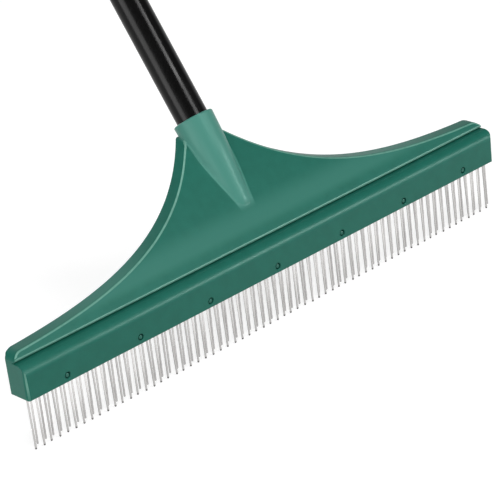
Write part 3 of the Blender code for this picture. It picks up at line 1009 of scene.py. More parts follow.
@dataclass
class RakeHead:
    """The green moulding: bar, curved plate and socket, with an open ribbed back."""

    axis: HandleAxis
    # Bar
    bar_half: float = 228.5 * MM
    bar_depth: float = 20.4 * MM
    bar_top: float = 25.2 * MM
    round_start: float = 18.0 * MM
    round_depth: float = 7.5 * MM
    end_rounding: float = 1.2 * MM
    corner_low: float = 3.8 * MM
    corner_high: float = 2.6 * MM
    corner_height: float = 19.0 * MM
    back_rounding: float = 2.0 * MM
    foot_rounding: float = 0.9 * MM
    slot_low: tuple[float, float] = (-227.3 * MM, 2.4 * MM)
    slot_high: tuple[float, float, float] = (227.3 * MM, 11.4 * MM, 12.8 * MM)
    # Plate, whose front follows ridge_y + slope * above + curve * above**2
    ridge_y: float = 8.4 * MM
    ridge_z: float = 26.6 * MM
    slope: float = 0.77
    curve: float = 0.00123 / MM
    plate_top: float = 93.5 * MM
    plate_depth: float = 10.5 * MM
    plate_steps: int = 44
    groove_back: float = 12.0 * MM
    groove_rounding: float = 0.5 * MM
    lip_underside: float = 25.75 * MM
    nose: float = 1.7 * MM
    corner_width: float = 9.0 * MM
    corner_start: float = 24.0 * MM
    corner_top: float = 31.8 * MM
    pull_low: Point = (123.9 * MM, 35.2 * MM)
    pull_high: Point = (61.2 * MM, 48.0 * MM)
    side_end: float = 15.0 * MM
    # Rims
    rim_rounding: float = 1.2 * MM
    rim_start: float = 28.8 * MM
    back_rim_rounding: float = 0.8 * MM
    back_rim_end: float = 4.0 * MM
    rim_steps: int = 3
    rim_crease: float = math.radians(30)
    edge_on: float = 0.02
    # Limits of the normals of faces that get a painted highlight
    rim_facing: float = -0.22
    rim_slant: Range = (0.2, 0.97)
    nose_facing: float = -0.6
    nose_slant: Range = (-0.5, 0.35)
    corner_facing: Range = (0.5, 0.85)
    # Ribbed back
    wall: float = 2.8 * MM
    front_wall: float = 3.5 * MM
    rib: float = 2.2 * MM
    rib_pitch: float = 38.0 * MM
    ribs_each_side: int = 5
    pocket_rounding: float = 0.9 * MM
    pocket_crease: float = math.radians(40)
    pocket_steps: int = 30
    bar_pockets: tuple[tuple[float, float, float], ...] = (  # front, low and high of each
        (4.0 * MM, 15.4 * MM, 23.2 * MM),
        (14.0 * MM, 2.6 * MM, 12.8 * MM),
    )
    plate_pocket_floor: float = 28.2 * MM
    # Socket, measured along the handle's axis
    socket_rim: float = 123.7 * MM
    socket_rim_radius: float = 15.3 * MM
    socket_lip: float = 1.1 * MM
    socket_outside: tuple[Point, ...] = (
        (95.0 * MM, 14.3 * MM),
        (79.0 * MM, 12.3 * MM),
        (64.0 * MM, 10.8 * MM),
        (50.0 * MM, 9.85 * MM),
    )
    socket_easing: float = 3 * MM
    socket_foot: float = 58.0 * MM
    socket_foot_length: float = 12.5 * MM
    socket_steps: int = 44
    socket_sides: int = 96
    counterbore: Point = (12.15 * MM, 95.7 * MM)  # radius and floor
    thread_bore: tuple[float, float, float] = (9.8 * MM, 8.2 * MM, 63.7 * MM)  # radius at top and floor, floor
    bore_lead: float = 0.5 * MM
    # Fillet between plate and socket
    fillet_reach: float = 3.6 * MM
    fillet_rounds: int = 9
    fillet_pull: float = 0.6
    fillet_above_ridge: float = 2 * MM
    blend_half: float = 42.0 * MM
    blend_cell: float = 1.5 * MM

    @property
    def far(self) -> float:
        """A length that reaches past every side of the head."""
        return 4 * self.plate_top

    def front(self, height: float) -> float:
        """How far back from the bar's front the plate's front surface is at a height."""
        above = height - self.ridge_z
        return self.ridge_y + self.slope * above + self.curve * above**2

    def section(self) -> Outline:
        """Draws the section of bar and plate, with the lip over its groove.

        Returns:
            The section's points, back from the bar's front and up.
        """
        foot, groove = self.foot_rounding, self.groove_rounding
        points = arc((foot, foot), foot, 270, 180, steps=4)
        rise = self.bar_top - self.round_start
        points += arc((self.round_depth, self.round_start), (self.round_depth, rise), 180, 90, steps=18)
        points += arc((self.groove_back - groove, self.bar_top + groove), groove, 270, 360, steps=3)
        points += [(self.groove_back, self.lip_underside)]
        steep = math.degrees(math.atan(self.slope))
        middle = self.lip_underside + self.nose
        nose = (self.front(middle) + self.nose / math.cos(math.radians(steep)), middle)
        points += arc(nose, self.nose, 270, 180 - steep, steps=9)
        heights = evenly(points.pop()[1], self.plate_top, self.plate_steps)
        points += [(self.front(height), height) for height in heights]
        points += [(self.front(height) + self.plate_depth, height) for height in reversed(heights)]
        points += [(self.bar_depth, self.bar_top)]
        return points + arc((self.bar_depth - foot, foot), foot, 0, -90, steps=4)

    def half_outline(self) -> Outline:
        """Draws the right half of the plate's outline, from the bar's end up to the socket.

        Returns:
            The outline's points, seen from the front.
        """
        middle = (self.bar_half - self.corner_width, self.corner_start)
        corner = arc(middle, (self.corner_width, self.corner_top - self.corner_start), 0, 90, steps=14)
        start, end = (middle[0], self.corner_top), (self.side_end, self.plate_top)
        return corner[:-1] + bezier(start, self.pull_low, self.pull_high, end, steps=64)

    def plan(self, corner: float) -> Outline:
        """Draws the moulding's outline from above.

        Args:
            corner: the rounding of its front corners.

        Returns:
            The outline's points, back from the bar's front.
        """
        edge = self.bar_half - corner
        behind = (self.bar_half - self.back_rounding, self.bar_depth - self.back_rounding)
        points = [(edge, -PAST)] + arc((edge, corner), corner, -90, 0, steps=10)
        points += arc(behind, self.back_rounding, 0, 90, steps=6)
        return mirrored(points + [(behind[0], self.far)])

    def body(self) -> bpy.types.Object:
        """Makes bar and plate with rounded ends and a rounded rim.

        Returns:
            Both as one solid.
        """
        past_end = self.bar_half + PAST
        body = prism("head_moulding", self.section(), -past_end, past_end, Draw.SECTION)
        inner = self.bar_half - self.end_rounding
        foot = [(inner, -PAST)] + arc((inner, self.end_rounding), self.end_rounding, -90, 0, steps=6)
        outline = mirrored(foot + self.half_outline())
        combine(body, prism("front outline", outline, -self.far, self.far, Draw.FRONT_VIEW), Cut.KEEP_SHARED)
        steep = (self.corner_low - self.corner_high) / self.corner_height
        levels = (
            (-PAST, self.plan(self.corner_low + steep * PAST)),
            (self.corner_height, self.plan(self.corner_high)),
            (self.far, self.plan(self.corner_high)),
        )
        combine(body, tower("plan outline", levels), Cut.KEEP_SHARED)
        self.round_rim(body)
        return body

    def round_rim(self, body: bpy.types.Object) -> None:
        """Rounds the plate's front and back rims, and marks the faces that get a painted highlight.

        Args:
            body: bar and plate.
        """
        with edited(body) as work:
            join_close(work)
            # the front rim's slanted faces get a painted highlight
            for face in self.bevel_rim(work, self.on_front_rim, self.rim_rounding):
                if self.painted_highlight_on_rim(face):
                    face.material_index = PAINTED_HIGHLIGHT_INDEX
            self.bevel_rim(work, self.on_back_rim, self.back_rim_rounding)
            # painted highlight on the lip's nose and the bar's end corners
            for face in work.faces:
                if self.on_nose(face) or self.on_end_corner(face):
                    face.material_index = PAINTED_HIGHLIGHT_INDEX

    def bevel_rim(
        self, work: bmesh.types.BMesh, test: Callable[[bmesh.types.BMEdge], bool], rounding: float
    ) -> list[bmesh.types.BMFace]:
        """Rounds one rim.

        Args:
            work: the mesh of bar and plate.
            test: says whether an edge belongs to the rim.
            rounding: how far the rounding reaches.

        Returns:
            The faces of the rounding.
        """
        edges = [edge for edge in work.edges if len(edge.link_faces) == 2 and test(edge)]
        log.info("%s: %d edges", test.__name__, len(edges))
        return bevel(work, edges, rounding, self.rim_steps)

    def on_rim(self, edge: bmesh.types.BMEdge) -> bool:
        """Says whether an edge belongs to the plate's rim, in front or behind.

        Args:
            edge: an edge between two faces.

        Returns:
            Whether it does.
        """
        if min(vert.co.z for vert in edge.verts) < self.rim_start:
            return False
        sides = any(abs(face.normal.y) < self.edge_on for face in edge.link_faces)
        return sides and edge.calc_face_angle() > self.rim_crease

    def behind(self, edge: bmesh.types.BMEdge) -> float:
        """How far an edge lies behind the plate's front surface."""
        middle = (edge.verts[0].co + edge.verts[1].co) / 2
        return middle.y - BAR_FRONT - self.front(middle.z)

    def on_front_rim(self, edge: bmesh.types.BMEdge) -> bool:
        """Whether an edge belongs to the plate's front rim."""
        return self.on_rim(edge) and self.behind(edge) < self.plate_depth / 2

    def on_back_rim(self, edge: bmesh.types.BMEdge) -> bool:
        """Whether an edge belongs to the plate's back rim, short of its lowest corners."""
        inside = max(abs(vert.co.x) for vert in edge.verts) < self.bar_half - self.back_rim_end
        return inside and self.on_rim(edge) and self.behind(edge) > self.plate_depth / 2

    def painted_highlight_on_rim(self, face: bmesh.types.BMFace) -> bool:
        """Whether a face of the front rim's rounding is slanted so that it gets a painted highlight."""
        return face.normal.y < self.rim_facing and within(face.normal.xz.length, self.rim_slant)

    def on_nose(self, face: bmesh.types.BMFace) -> bool:
        """Says whether a face belongs to the lip's rounded nose, on the side that gets a painted highlight.

        Args:
            face: a face of the body.

        Returns:
            Whether it does.
        """
        at_lip = within(face.calc_center_median().z, (self.lip_underside, self.lip_underside + 2 * self.nose))
        return at_lip and face.normal.y < self.nose_facing and within(face.normal.z, self.nose_slant)

    def on_end_corner(self, face: bmesh.types.BMFace) -> bool:
        """Says whether a face belongs to the rounded corner between the bar's front and its end, which gets a
        painted highlight.

        Args:
            face: a face of the body.

        Returns:
            Whether it does.
        """
        middle = face.calc_center_median()
        at_end = abs(middle.x) > self.bar_half - self.corner_low and middle.z < self.bar_top
        in_front = middle.y < BAR_FRONT + self.round_depth
        return at_end and in_front and within(abs(face.normal.x), self.corner_facing)

    def socket_radius(self, along: float) -> float:
        """Gives the socket's outer radius, which closes in an egg-shaped foot.

        Args:
            along: a distance along the handle's axis.

        Returns:
            The radius there.
        """
        if along < self.socket_foot:
            past = min(1.0, (self.socket_foot - along) / self.socket_foot_length)
            return self.socket_radius(self.socket_foot) * math.sqrt(1 - past**2)
        stations = [(self.socket_rim, self.socket_rim_radius), *self.socket_outside]
        for (upper, upper_radius), (lower, lower_radius) in zip(stations, stations[1:]):
            if along >= lower:
                share = (along - lower) / (upper - lower)
                return lower_radius + share * (upper_radius - lower_radius)
        return stations[-1][1]

    def socket(self) -> bpy.types.Object:
        """Makes the turned boss, in short steps along its axis so that its crease can be blended.

        Returns:
            The solid boss.
        """
        top = (self.socket_rim_radius - self.socket_lip, self.socket_rim - self.socket_lip)
        profile = [(0.0, self.socket_rim)] + arc(top, self.socket_lip, 90, 0, steps=5)
        for along in evenly(top[1], self.socket_foot, self.socket_steps)[1:-1]:
            reach = min(self.socket_easing, (along - self.socket_foot) / 2)
            smooth = [self.socket_radius(along + shift * reach) for shift in (-2, -1, 0, 1, 2)]
            profile.append((sum(smooth) / len(smooth), along))
        foot = (self.socket_radius(self.socket_foot), self.socket_foot_length)
        profile += arc((0.0, self.socket_foot), foot, 0, -90, steps=14)
        return lathe("socket body", profile, self.axis.place(), self.socket_sides)

    def bore(self) -> bpy.types.Object:
        """Makes what the handle's tube and threaded tip go into, with a small lead-in at the rim.

        Returns:
            The solid to cut away.
        """
        radius, floor = self.counterbore
        top_radius, low_radius, low = self.thread_bore
        profile = [
            (0.0, self.socket_rim + PAST),
            (radius + self.bore_lead, self.socket_rim + PAST),
            (radius + self.bore_lead, self.socket_rim),
            (radius, self.socket_rim - self.bore_lead),
            (radius, floor),
            (top_radius, floor),
            (low_radius, low),
            (0.0, low),
        ]
        return lathe("socket bore", profile, self.axis.place(), self.socket_sides)

    def refine_middle(self, body: bpy.types.Object) -> None:
        """Cuts the plate's middle into narrow columns, so that the crease round the socket can be blended.

        Args:
            body: bar and plate.
        """
        with edited(body) as work:
            for number in range(round(2 * self.blend_half / self.blend_cell) + 1):
                across = -self.blend_half + number * self.blend_cell
                near = [face for face in work.faces if face.calc_center_median().z > self.ridge_z]
                edges = dict.fromkeys(edge for face in near for edge in face.edges)
                verts = dict.fromkeys(vert for face in near for vert in face.verts)
                parts = [*verts, *edges, *near]
                bmesh.ops.bisect_plane(work, geom=parts, plane_co=(across, 0, 0), plane_no=(1, 0, 0))

    def crease_share(self, point: Vector) -> float:
        """Says how much a point takes part in the fillet between plate and socket.

        Args:
            point: a point of the head.

        Returns:
            1 in the crease, falling to 0 at the fillet's reach.
        """
        behind = point.y - BAR_FRONT - self.front(point.z)
        low, high = self.ridge_z + self.fillet_above_ridge, self.plate_top + self.fillet_reach
        if point.z < low or point.z > high or behind > self.front_wall / 2:
            return 0.0
        radius, along = self.axis.split(point)
        off_socket = abs(radius - self.socket_radius(along))
        off_plate = abs(behind) * math.cos(self.axis.lean)
        return max(0.0, 1.0 - max(off_socket, off_plate) / self.fillet_reach) ** 0.5

    def blend_crease(self, head: bpy.types.Object) -> None:
        """Softens the crease between plate and socket into a fillet.

        Args:
            head: plate and socket, joined.
        """
        with edited(head) as work:
            join_close(work)
            shares = {vert: self.crease_share(vert.co) for vert in work.verts}
            shares = {vert: share for vert, share in shares.items() if share > 0}
            near = dict.fromkeys(face for vert in shares for face in vert.link_faces if len(face.verts) > 4)
            bmesh.ops.triangulate(work, faces=list(near))
            for _ in range(self.fillet_rounds):
                moved = {}
                for vert, share in shares.items():
                    around = [edge.other_vert(vert).co for edge in vert.link_edges]
                    middle = sum(around, Vector()) / len(around)
                    moved[vert] = vert.co.lerp(middle, self.fillet_pull * share)
                for vert, place in moved.items():
                    vert.co = place

    def pocket_solids(self) -> list[bpy.types.Object]:
        """Makes the cored-out bays of the back, between the ribs.

        Returns:
            The solids to cut away.
        """
        edges = [-self.bar_half + self.wall]
        for number in range(-self.ribs_each_side, self.ribs_each_side + 1):
            if number:
                edges += [number * self.rib_pitch - self.rib / 2, number * self.rib_pitch + self.rib / 2]
        edges.append(self.bar_half - self.wall)
        solids = []
        for left, right in zip(edges[::2], edges[1::2]):
            for front, low, high in self.bar_pockets:
                box = (left, front, low), (right, self.bar_depth + PAST, high)
                solids.append(block("bar pocket", *box, FROM_BAR_FRONT, self.pocket_rounding))
            solids.append(self.plate_pocket(left, right))
        return solids

    def plate_pocket(self, left: float, right: float) -> bpy.types.Object:
        """Makes one bay behind the plate's front wall.

        Args:
            left: where the bay starts.
            right: where it ends.

        Returns:
            The solid to cut away.
        """
        floor, past_back = self.plate_pocket_floor, 4 * self.plate_depth
        inner = [point for point in drawn_in(self.half_outline(), self.wall) if point[1] > floor]
        outline = mirrored([(inner[0][0], floor)] + inner)
        pocket = prism("plate pocket", outline, -self.far, self.far, Draw.FRONT_VIEW)
        heights = [floor / 2 + share * self.plate_top for share in evenly(0.0, 1.0, self.pocket_steps)]
        front = [(self.front(height) + self.front_wall, height) for height in heights]
        back = [(y + past_back, height) for y, height in reversed(front)]
        combine(pocket, prism("bay", front + back, left, right, Draw.SECTION), Cut.KEEP_SHARED)
        with edited(pocket) as work:
            closed = [edge for edge in work.edges if len(edge.link_faces) == 2]
            sharp = [edge for edge in closed if edge.calc_face_angle() > self.pocket_crease]
            bevel(work, sharp, self.pocket_rounding / 2, clamp=True)
        return pocket

    def build(
        self, pins: LockPins, material: bpy.types.Material, painted_highlight: bpy.types.Material
    ) -> bpy.types.Object:
        """Makes the whole moulding.

        Args:
            pins: the lock pins, whose holes are cut here.
            material: the moulding's finish.
            painted_highlight: the finish of its edges with a painted highlight.

        Returns:
            The finished piece.
        """
        head = self.body()
        self.refine_middle(head)
        for pocket in self.pocket_solids():
            combine(head, pocket, Cut.REMOVE)
        combine(head, self.socket(), Cut.JOIN)
        self.blend_crease(head)
        combine(head, self.bore(), Cut.REMOVE)
        slot = block("tine slot", (*self.slot_low, -PAST), self.slot_high, FROM_BAR_FRONT)
        combine(head, slot, Cut.REMOVE)
        for hole in pins.holes():
            combine(head, hole, Cut.REMOVE)
        head.name = "green_moulded_head"
        weld(head)
        return finish_piece(head, material, ["rake_head"], painted_highlight=painted_highlight)


@dataclass
class TineRow:
    """Sixty-five hairpins of spring wire, moulded five at a time into blocks that slide into the rail."""

    count: int = 65
    per_block: int = 5
    pitch: float = 6.99 * MM
    wire: float = 0.75 * MM
    spread: float = 4.37 * MM
    front_y: float = 5.9 * MM
    back_y: float = 7.9 * MM
    back_splay: float = 1.5 * MM
    length: float = 38.5 * MM
    back_shorter: float = 1.3 * MM
    root: float = 4.0 * MM
    sides: int = 12
    stretches: int = 14
    tip_crowding: float = 3.0
    tip_rounding: float = 0.75 * MM
    tip_flat: float = 0.06
    bend: tuple[float, float, float] = (math.radians(0.9), math.radians(0.7), 0.0)
    front_seed: int = 3
    back_seed: int = 8
    block_low: float = 0.9 * MM
    block_high: float = 10.2 * MM
    block_mouth: Range = (4.8 * MM, 9.0 * MM)
    block_top: Range = (4.4 * MM, 9.4 * MM)
    gap: float = 0.3 * MM
    block_edge: float = 0.4 * MM

    @property
    def first(self) -> float:
        """Where the first front leg stands."""
        return -((self.count - 1) * self.pitch + self.spread) / 2

    def leg(self, tree: RowTree, length: bpy.types.NodeSocket, splay: object) -> bpy.types.NodeSocket:
        """One leg as a swept wire with a rounded tip, hanging down from its root.

        Args:
            tree: the tree that it is drawn in.
            length: how far the tip is below the bar.
            splay: how far back the tip is from the root.

        Returns:
            The leg's mesh.
        """
        line = tree.add("GeometryNodeCurvePrimitiveLine", {"Start": (0, 0, 0), "End": (0, 0, -1)}).outputs[0]
        fine = tree.add("GeometryNodeResampleCurve", {"Curve": line, "Count": self.stretches}).outputs[0]
        whole = tree.math("ADD", length, self.root)
        along = socket_named(tree.add("GeometryNodeSplineParameter").outputs, "Factor")
        share_left = tree.math("POWER", tree.math("SUBTRACT", 1.0, along), self.tip_crowding)
        left = tree.product(share_left, whole)
        eased = tree.math("MINIMUM", tree.math("DIVIDE", left, self.tip_rounding), 1.0)
        rounded = tree.product(eased, tree.math("SUBTRACT", 2.0, eased))
        thick = tree.product(tree.math("SQRT", tree.math("MAXIMUM", rounded, self.tip_flat)), self.wire)
        sized = tree.add("GeometryNodeSetCurveRadius", {"Curve": fine, "Radius": thick}).outputs[0]
        back = tree.product(tree.math("SUBTRACT", 1.0, share_left), splay)
        place = tree.vector(0.0, back, tree.math("SUBTRACT", left, length))
        placed = tree.add("GeometryNodeSetPosition", {"Geometry": sized, "Position": place}).outputs[0]
        circle = {"Resolution": self.sides, "Radius": 1.0}
        ring = tree.add("GeometryNodeCurvePrimitiveCircle", circle).outputs[0]
        radius = tree.add("GeometryNodeInputRadius").outputs[0]
        links = {"Curve": placed, "Profile Curve": ring, "Scale": radius, "Fill Caps": True}
        return tree.add("GeometryNodeCurveToMesh", links).outputs[0]

    def build_wires(self, material: bpy.types.Material) -> bpy.types.Object:
        """Makes every leg of every hairpin.

        Args:
            material: the wire's finish.

        Returns:
            The finished piece.
        """
        tree = RowTree("hairpin_row")
        points = tree.line(self.count, self.pitch)
        length = tree.size("Length", self.length)
        shorter = tree.math("SUBTRACT", length, tree.size("Back leg shorter", self.back_shorter))
        splay = tree.size("Back leg splay", self.back_splay)
        step = tree.vector(tree.size("Spread", self.spread), self.back_y - self.front_y)
        tree.instances(self.leg(tree, length, 0.0), points, tree.random_turn(self.bend, self.front_seed))
        back = self.leg(tree, shorter, splay)
        tree.instances(back, points, tree.random_turn(self.bend, self.back_seed), step)
        where = Matrix.Translation((self.first, BAR_FRONT + self.front_y, 0))
        wires = tree.bake("wire_tines", where, material)
        sets = [f"tine_set_{number + 1:02d}" for number in range(self.count // self.per_block)]
        return finish_piece(wires, material, sets, sharp=60.0)

    def build_blocks(self, material: bpy.types.Material) -> bpy.types.Object:
        """Makes the blocks that hold the hairpins, side by side in the rail.

        Args:
            material: the blocks' finish.

        Returns:
            The finished piece.
        """
        outline = [
            (self.block_mouth[0], self.block_low),
            (self.block_top[0], self.block_high),
            (self.block_top[1], self.block_high),
            (self.block_mouth[1], self.block_low),
        ]
        step = self.per_block * self.pitch
        one = prism("tine_block", outline, -(step - self.gap) / 2, (step - self.gap) / 2, Draw.SECTION)
        soften(one, self.block_edge, segments=2)
        count = self.count // self.per_block
        row = RowTree("block_row")
        row.instances(row.object_geometry(one), row.line(count, step))
        blocks = row.bake("tine_blocks", Matrix.Translation((-(count - 1) / 2 * step, 0, 0)), material)
        bpy.data.objects.remove(one, do_unlink=True)
        return finish_piece(blocks, material, [])


@dataclass
class Handle:
    """The coated steel tube and the cap with its hanging eye."""

    axis: HandleAxis
    tube_low: float = 98.3 * MM
    tube_high: float = 1388.3 * MM
    tube_radius: float = 12.0 * MM
    tube_wall: float = 0.8 * MM
    tube_edge: float = 0.25 * MM
    sides: int = 96
    cap_gap: float = 0.3 * MM
    cap_head: float = 34.0 * MM
    cap_radius: float = 12.7 * MM
    cap_round: float = 8.0 * MM
    cap_cheek: float = 4.6 * MM
    cap_edge: float = 0.6 * MM
    cheek_rounding: float = 1.2 * MM
    plug_radius: float = 10.9 * MM
    plug_depth: float = 22.0 * MM
    eye_radius: float = 5.0 * MM
    eye_from_top: float = 13.0 * MM
    eye_sides: int = 48

    def build_tube(self, material: bpy.types.Material) -> bpy.types.Object:
        """Makes the tube.

        Args:
            material: its finish.

        Returns:
            The finished piece.
        """
        edge, inner = self.tube_edge, self.tube_radius - self.tube_wall
        profile = arc((self.tube_radius - edge, self.tube_high - edge), edge, 90, 0, steps=3)
        profile += arc((self.tube_radius - edge, self.tube_low + edge), edge, 0, -90, steps=3)
        profile += [(inner, self.tube_low), (inner, self.tube_high)]
        tube = lathe("handle_tube_coated", profile, self.axis.place(), self.sides, closed=True)
        return finish_piece(tube, material, ["handle_tube"])

    def build_cap(self, material: bpy.types.Material) -> bpy.types.Object:
        """Makes the cap: a plug, a round shoulder and a flattened eye.

        Args:
            material: its finish.

        Returns:
            The finished piece.
        """
        place = self.axis.place()
        low = self.tube_high + self.cap_gap
        top, plug_end = low + self.cap_head, self.tube_high - self.plug_depth
        shoulder = (self.cap_radius - self.cap_round, top - self.cap_round)
        profile = [(0.0, top)] + arc(shoulder, self.cap_round, 90, 0, steps=14)
        profile += [(self.cap_radius, low), (self.plug_radius, low)]
        profile += [(self.plug_radius, plug_end), (0.0, plug_end)]
        cap = lathe("hanging_cap", profile, place, self.sides)
        wide = 2 * self.cap_radius
        for near, far in ((-wide, -self.cap_cheek), (self.cap_cheek, wide)):
            box = (near, -wide, top - 2 * self.eye_from_top), (far, wide, top + PAST)
            combine(cap, block("cheek", *box, place, self.cheek_rounding), Cut.REMOVE)
        centre = Matrix.Translation((0, 0, top - self.eye_from_top))
        across = place @ centre @ Matrix.Rotation(math.radians(90), 4, "Y")
        eye = [(0.0, wide), (self.eye_radius, wide), (self.eye_radius, -wide), (0.0, -wide)]
        combine(cap, lathe("eye", eye, across, self.eye_sides), Cut.REMOVE)
        soften(cap, self.cap_edge, segments=3, sharp=40.0)
        return finish_piece(cap, material, ["hang_cap"])


# The studio


@dataclass(frozen=True)
class Softbox:
    """One flat area lamp, aimed at the rake's head, by how bright it alone makes a white card there."""

    name: str
    direction: tuple[float, float, float]
    distance: float
    size: tuple[float, float]
    level: float
    reflected: bool = True

    def power(self) -> float:
        """The lamp's power for its level."""
        return self.level * (math.pi * self.distance) ** 2

    def hang(self, target: Vector) -> None:
        """Hangs the lamp, square to its own line of sight.

        Args:
            target: the point that it is aimed at.
        """
        data = bpy.data.lights.new(self.name, "AREA")
        data.shape = "RECTANGLE"
        data.size, data.size_y = self.size
        data.energy = self.power()
        obj = bpy.data.objects.new(self.name, data)
        outwards = Vector(self.direction).normalized()
        obj.location = target + self.distance * outwards
        obj.rotation_euler = outwards.to_track_quat("Z", "Y").to_euler()
        obj.visible_glossy = self.reflected
        obj.visible_camera = False
        bpy.context.scene.collection.objects.link(obj)


@dataclass
class Studio:
    """Pale floor, white surroundings, soft lamps and the camera."""

    floor_height: float = -38.7 * MM
    floor_size: float = 40.0
    floor_grey: float = 0.18
    floor_seen_grey: float = 0.42
    floor_glow: float = 0.74
    target: tuple[float, float, float] = (0.0, 0.02, 0.05)
    surround: float = 0.25  # how strongly the white walls light the object
    ceiling: float = 0.08  # how bright the ceiling is against the walls
    wall_top: Range = (0.05, 0.35)  # where the walls fade into it
    mirrored: float = 0.85  # how much of the backdrop a reflection shows
    lamps: tuple[Softbox, ...] = (
        Softbox("left_flat", (-1.0, 0.06, 0.08), 2.6, (1.4, 2.2), 0.66),
        Softbox("left_front", (-0.85, -0.52, 0.12), 2.6, (0.8, 1.2), 0.18),
        Softbox("camera_side", (-0.585, -0.69, 0.42), 2.6, (2.0, 2.0), 0.30, reflected=False),
        Softbox("overhead", (0.0, -0.2, 1.0), 3.0, (1.6, 1.6), 0.33),
        Softbox("right_high", (0.192, -0.74, 0.645), 3.0, (1.1, 0.3), 0.21),
        Softbox("right_low", (0.584, -0.766, 0.268), 3.0, (0.6, 0.6), 0.38),
        Softbox("back_soft", (0.5, 0.85, 0.45), 3.0, (2.0, 2.0), 0.09),
        Softbox("behind", (0.1, 0.97, 0.22), 3.0, (1.2, 1.2), 0.18),
    )
    camera_place: tuple[float, float, float] = (-1.04373, -1.23504, 0.75310)
    camera_right: tuple[float, float, float] = (0.72379, -0.67891, -0.12335)
    camera_up: tuple[float, float, float] = (0.36797, 0.22855, 0.90131)
    lens: float = 180.0
    sensor: float = 36.0

    def seen_directly(self, tree: Tree) -> bpy.types.NodeSocket:
        """Tells rays that show the backdrop: to the camera, in a reflection or through a clear part.

        Args:
            tree: the tree that needs to know.

        Returns:
            1 for such rays, and a little less in a reflection.
        """
        rays = tree.add("ShaderNodeLightPath").outputs
        seen = tree.math("MAXIMUM", rays["Is Camera Ray"], tree.product(rays["Is Glossy Ray"], self.mirrored))
        return tree.math("MAXIMUM", seen, rays["Is Transmission Ray"])

    def build_world(self) -> None:
        """Makes white walls under a dim ceiling, gentler as a light than to look at."""
        world = bpy.data.worlds.new("white_room")
        bpy.context.scene.world = world
        world.use_nodes = True
        tree = Tree(world.node_tree)
        direction = tree.add("ShaderNodeTexCoord").outputs["Generated"]
        height = tree.add("ShaderNodeSeparateXYZ", {0: direction}).outputs[2]
        wall = tree.ramp(height, *self.wall_top, 1.0, self.ceiling)
        gentle = tree.product(wall, self.surround)
        bright = tree.math("SUBTRACT", wall, gentle)
        strength = tree.math("ADD", gentle, tree.product(bright, self.seen_directly(tree)))
        background = world.node_tree.nodes["Background"].inputs
        tree.give(background["Color"], opaque((1, 1, 1)))
        tree.give(background["Strength"], strength)

    def build_floor(self) -> None:
        """Makes the floor under the tines' tips."""
        work = bmesh.new()
        bmesh.ops.create_grid(work, x_segments=1, y_segments=1, size=self.floor_size / 2)
        bmesh.ops.translate(work, verts=work.verts, vec=(0, 0, self.floor_height))
        floor = filled("studio_floor", work)
        material = bpy.data.materials.new("pale_floor")
        material.use_nodes = True
        nodes = material.node_tree.nodes
        nodes.remove(nodes["Principled BSDF"])
        tree = Tree(material.node_tree)
        white = opaque((1, 1, 1))
        grey, seen_grey = opaque([self.floor_grey] * 3), opaque([self.floor_seen_grey] * 3)
        plain = tree.add("ShaderNodeBsdfDiffuse", {"Color": grey}).outputs[0]
        shaded = tree.add("ShaderNodeBsdfDiffuse", {"Color": seen_grey}).outputs[0]
        glow = tree.add("ShaderNodeEmission", {"Color": white, "Strength": self.floor_glow}).outputs[0]
        lit = tree.add("ShaderNodeAddShader", {0: shaded, 1: glow}).outputs[0]
        mixed = tree.add("ShaderNodeMixShader", {0: self.seen_directly(tree), 1: plain, 2: lit}).outputs[0]
        tree.give(nodes["Material Output"].inputs["Surface"], mixed)
        floor.data.materials.append(material)
        floor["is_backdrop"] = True

    def build_camera(self) -> None:
        """Stands the camera where the photograph was taken."""
        data = bpy.data.cameras.new("photo_camera")
        data.lens = self.lens
        data.sensor_width = self.sensor
        camera = bpy.data.objects.new("photo_camera", data)
        right, up = Vector(self.camera_right).normalized(), Vector(self.camera_up).normalized()
        turn = Matrix((right, up, right.cross(up))).transposed()
        camera.matrix_world = Matrix.Translation(self.camera_place) @ turn.to_4x4()
        bpy.context.scene.collection.objects.link(camera)
        bpy.context.scene.camera = camera

    def build(self) -> None:
        """Sets up everything round the object."""
        self.build_world()
        self.build_floor()
        for lamp in self.lamps:
            lamp.hang(Vector(self.target))
        self.build_camera()
        bpy.context.scene.view_settings.view_transform = "Standard"


# Finishes


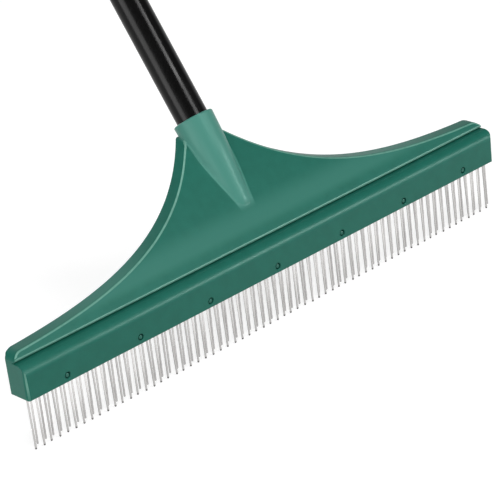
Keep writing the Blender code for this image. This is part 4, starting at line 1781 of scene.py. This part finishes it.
GREEN = MouldedPlastic(
    name="green_moulding",
    colour=(0.0125, 0.130, 0.095),
    shade=(0.0105, 0.116, 0.083),
    roughness=0.38,
    gloss=0.36,
    # painted light: a painted highlight band along the plate's foot, and the socket painted paler where it
    # catches more light
    painted_lights=(PlateHighlightBand((0.030, 0.164, 0.125)), SocketPaintedLight((0.062, 0.232, 0.186), HandleAxis())),
    gloss_tint=(0.68, 1.0, 0.93),
)
# Painted highlights on the moulding's rounded edges: a paler colour, with less roughness and more gloss.
GREEN_PAINTED_HIGHLIGHT = replace(
    GREEN,
    name="green_moulding_painted_highlight",
    roughness=0.34,
    gloss=0.6,
    painted_lights=(EdgeHighlight((0.125, 0.31, 0.245)),),
)
DARK_GREEN = MouldedPlastic(
    name="green_pins",
    colour=(0.0085, 0.126, 0.091),
    shade=(0.0065, 0.112, 0.080),
    roughness=0.36,
    gloss=0.5,
)
BLACK_PLASTIC = MouldedPlastic(
    name="black_moulding",
    colour=(0.016, 0.016, 0.017),
    shade=(0.011, 0.011, 0.012),
    roughness=0.45,
    gloss=0.4,
)
COATING = SatinCoating(
    name="black_satin_coating",
    colour=(0.0035, 0.0035, 0.0035),
    roughness=0.19,
    gloss=0.16,
    lean=HandleAxis().lean,
)
SPRING_WIRE = DrawnWire(
    name="spring_wire",
    colour=(0.86, 0.845, 0.835),
    painted_tip_shade=(0.06, 0.055, 0.05),
    roughness=0.18,
    tip_height=-38.0 * MM,
)


def dress_frame_nodes(materials: dict[str, bpy.types.Material]) -> None:
    """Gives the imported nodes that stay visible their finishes.

    Args:
        materials: the finish for each node's name.
    """
    for name, material in materials.items():
        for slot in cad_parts[name].material_slots:
            slot.material = material


def corners() -> list[list[float]]:
    """The lowest and highest corner of everything but the stage, as plain lists."""
    return [list(corner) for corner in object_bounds()]


def main() -> None:
    """Builds the rake's pieces in order, then the studio and the camera."""
    logging.basicConfig(level=logging.INFO, format="%(name)s: %(message)s")
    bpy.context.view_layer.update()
    black = BLACK_PLASTIC.make()
    axis = HandleAxis()
    pins = LockPins()
    RakeHead(axis).build(pins, GREEN.make(), GREEN_PAINTED_HIGHLIGHT.make())
    pins.build(DARK_GREEN.make())
    tines = TineRow()
    tines.build_wires(SPRING_WIRE.make())
    tines.build_blocks(black)
    handle = Handle(axis)
    handle.build_tube(COATING.make())
    handle.build_cap(black)
    dress_frame_nodes({"threaded_tip": black, "tine_rail": black})
    Studio().build()


if __name__ == "__main__":
    main()
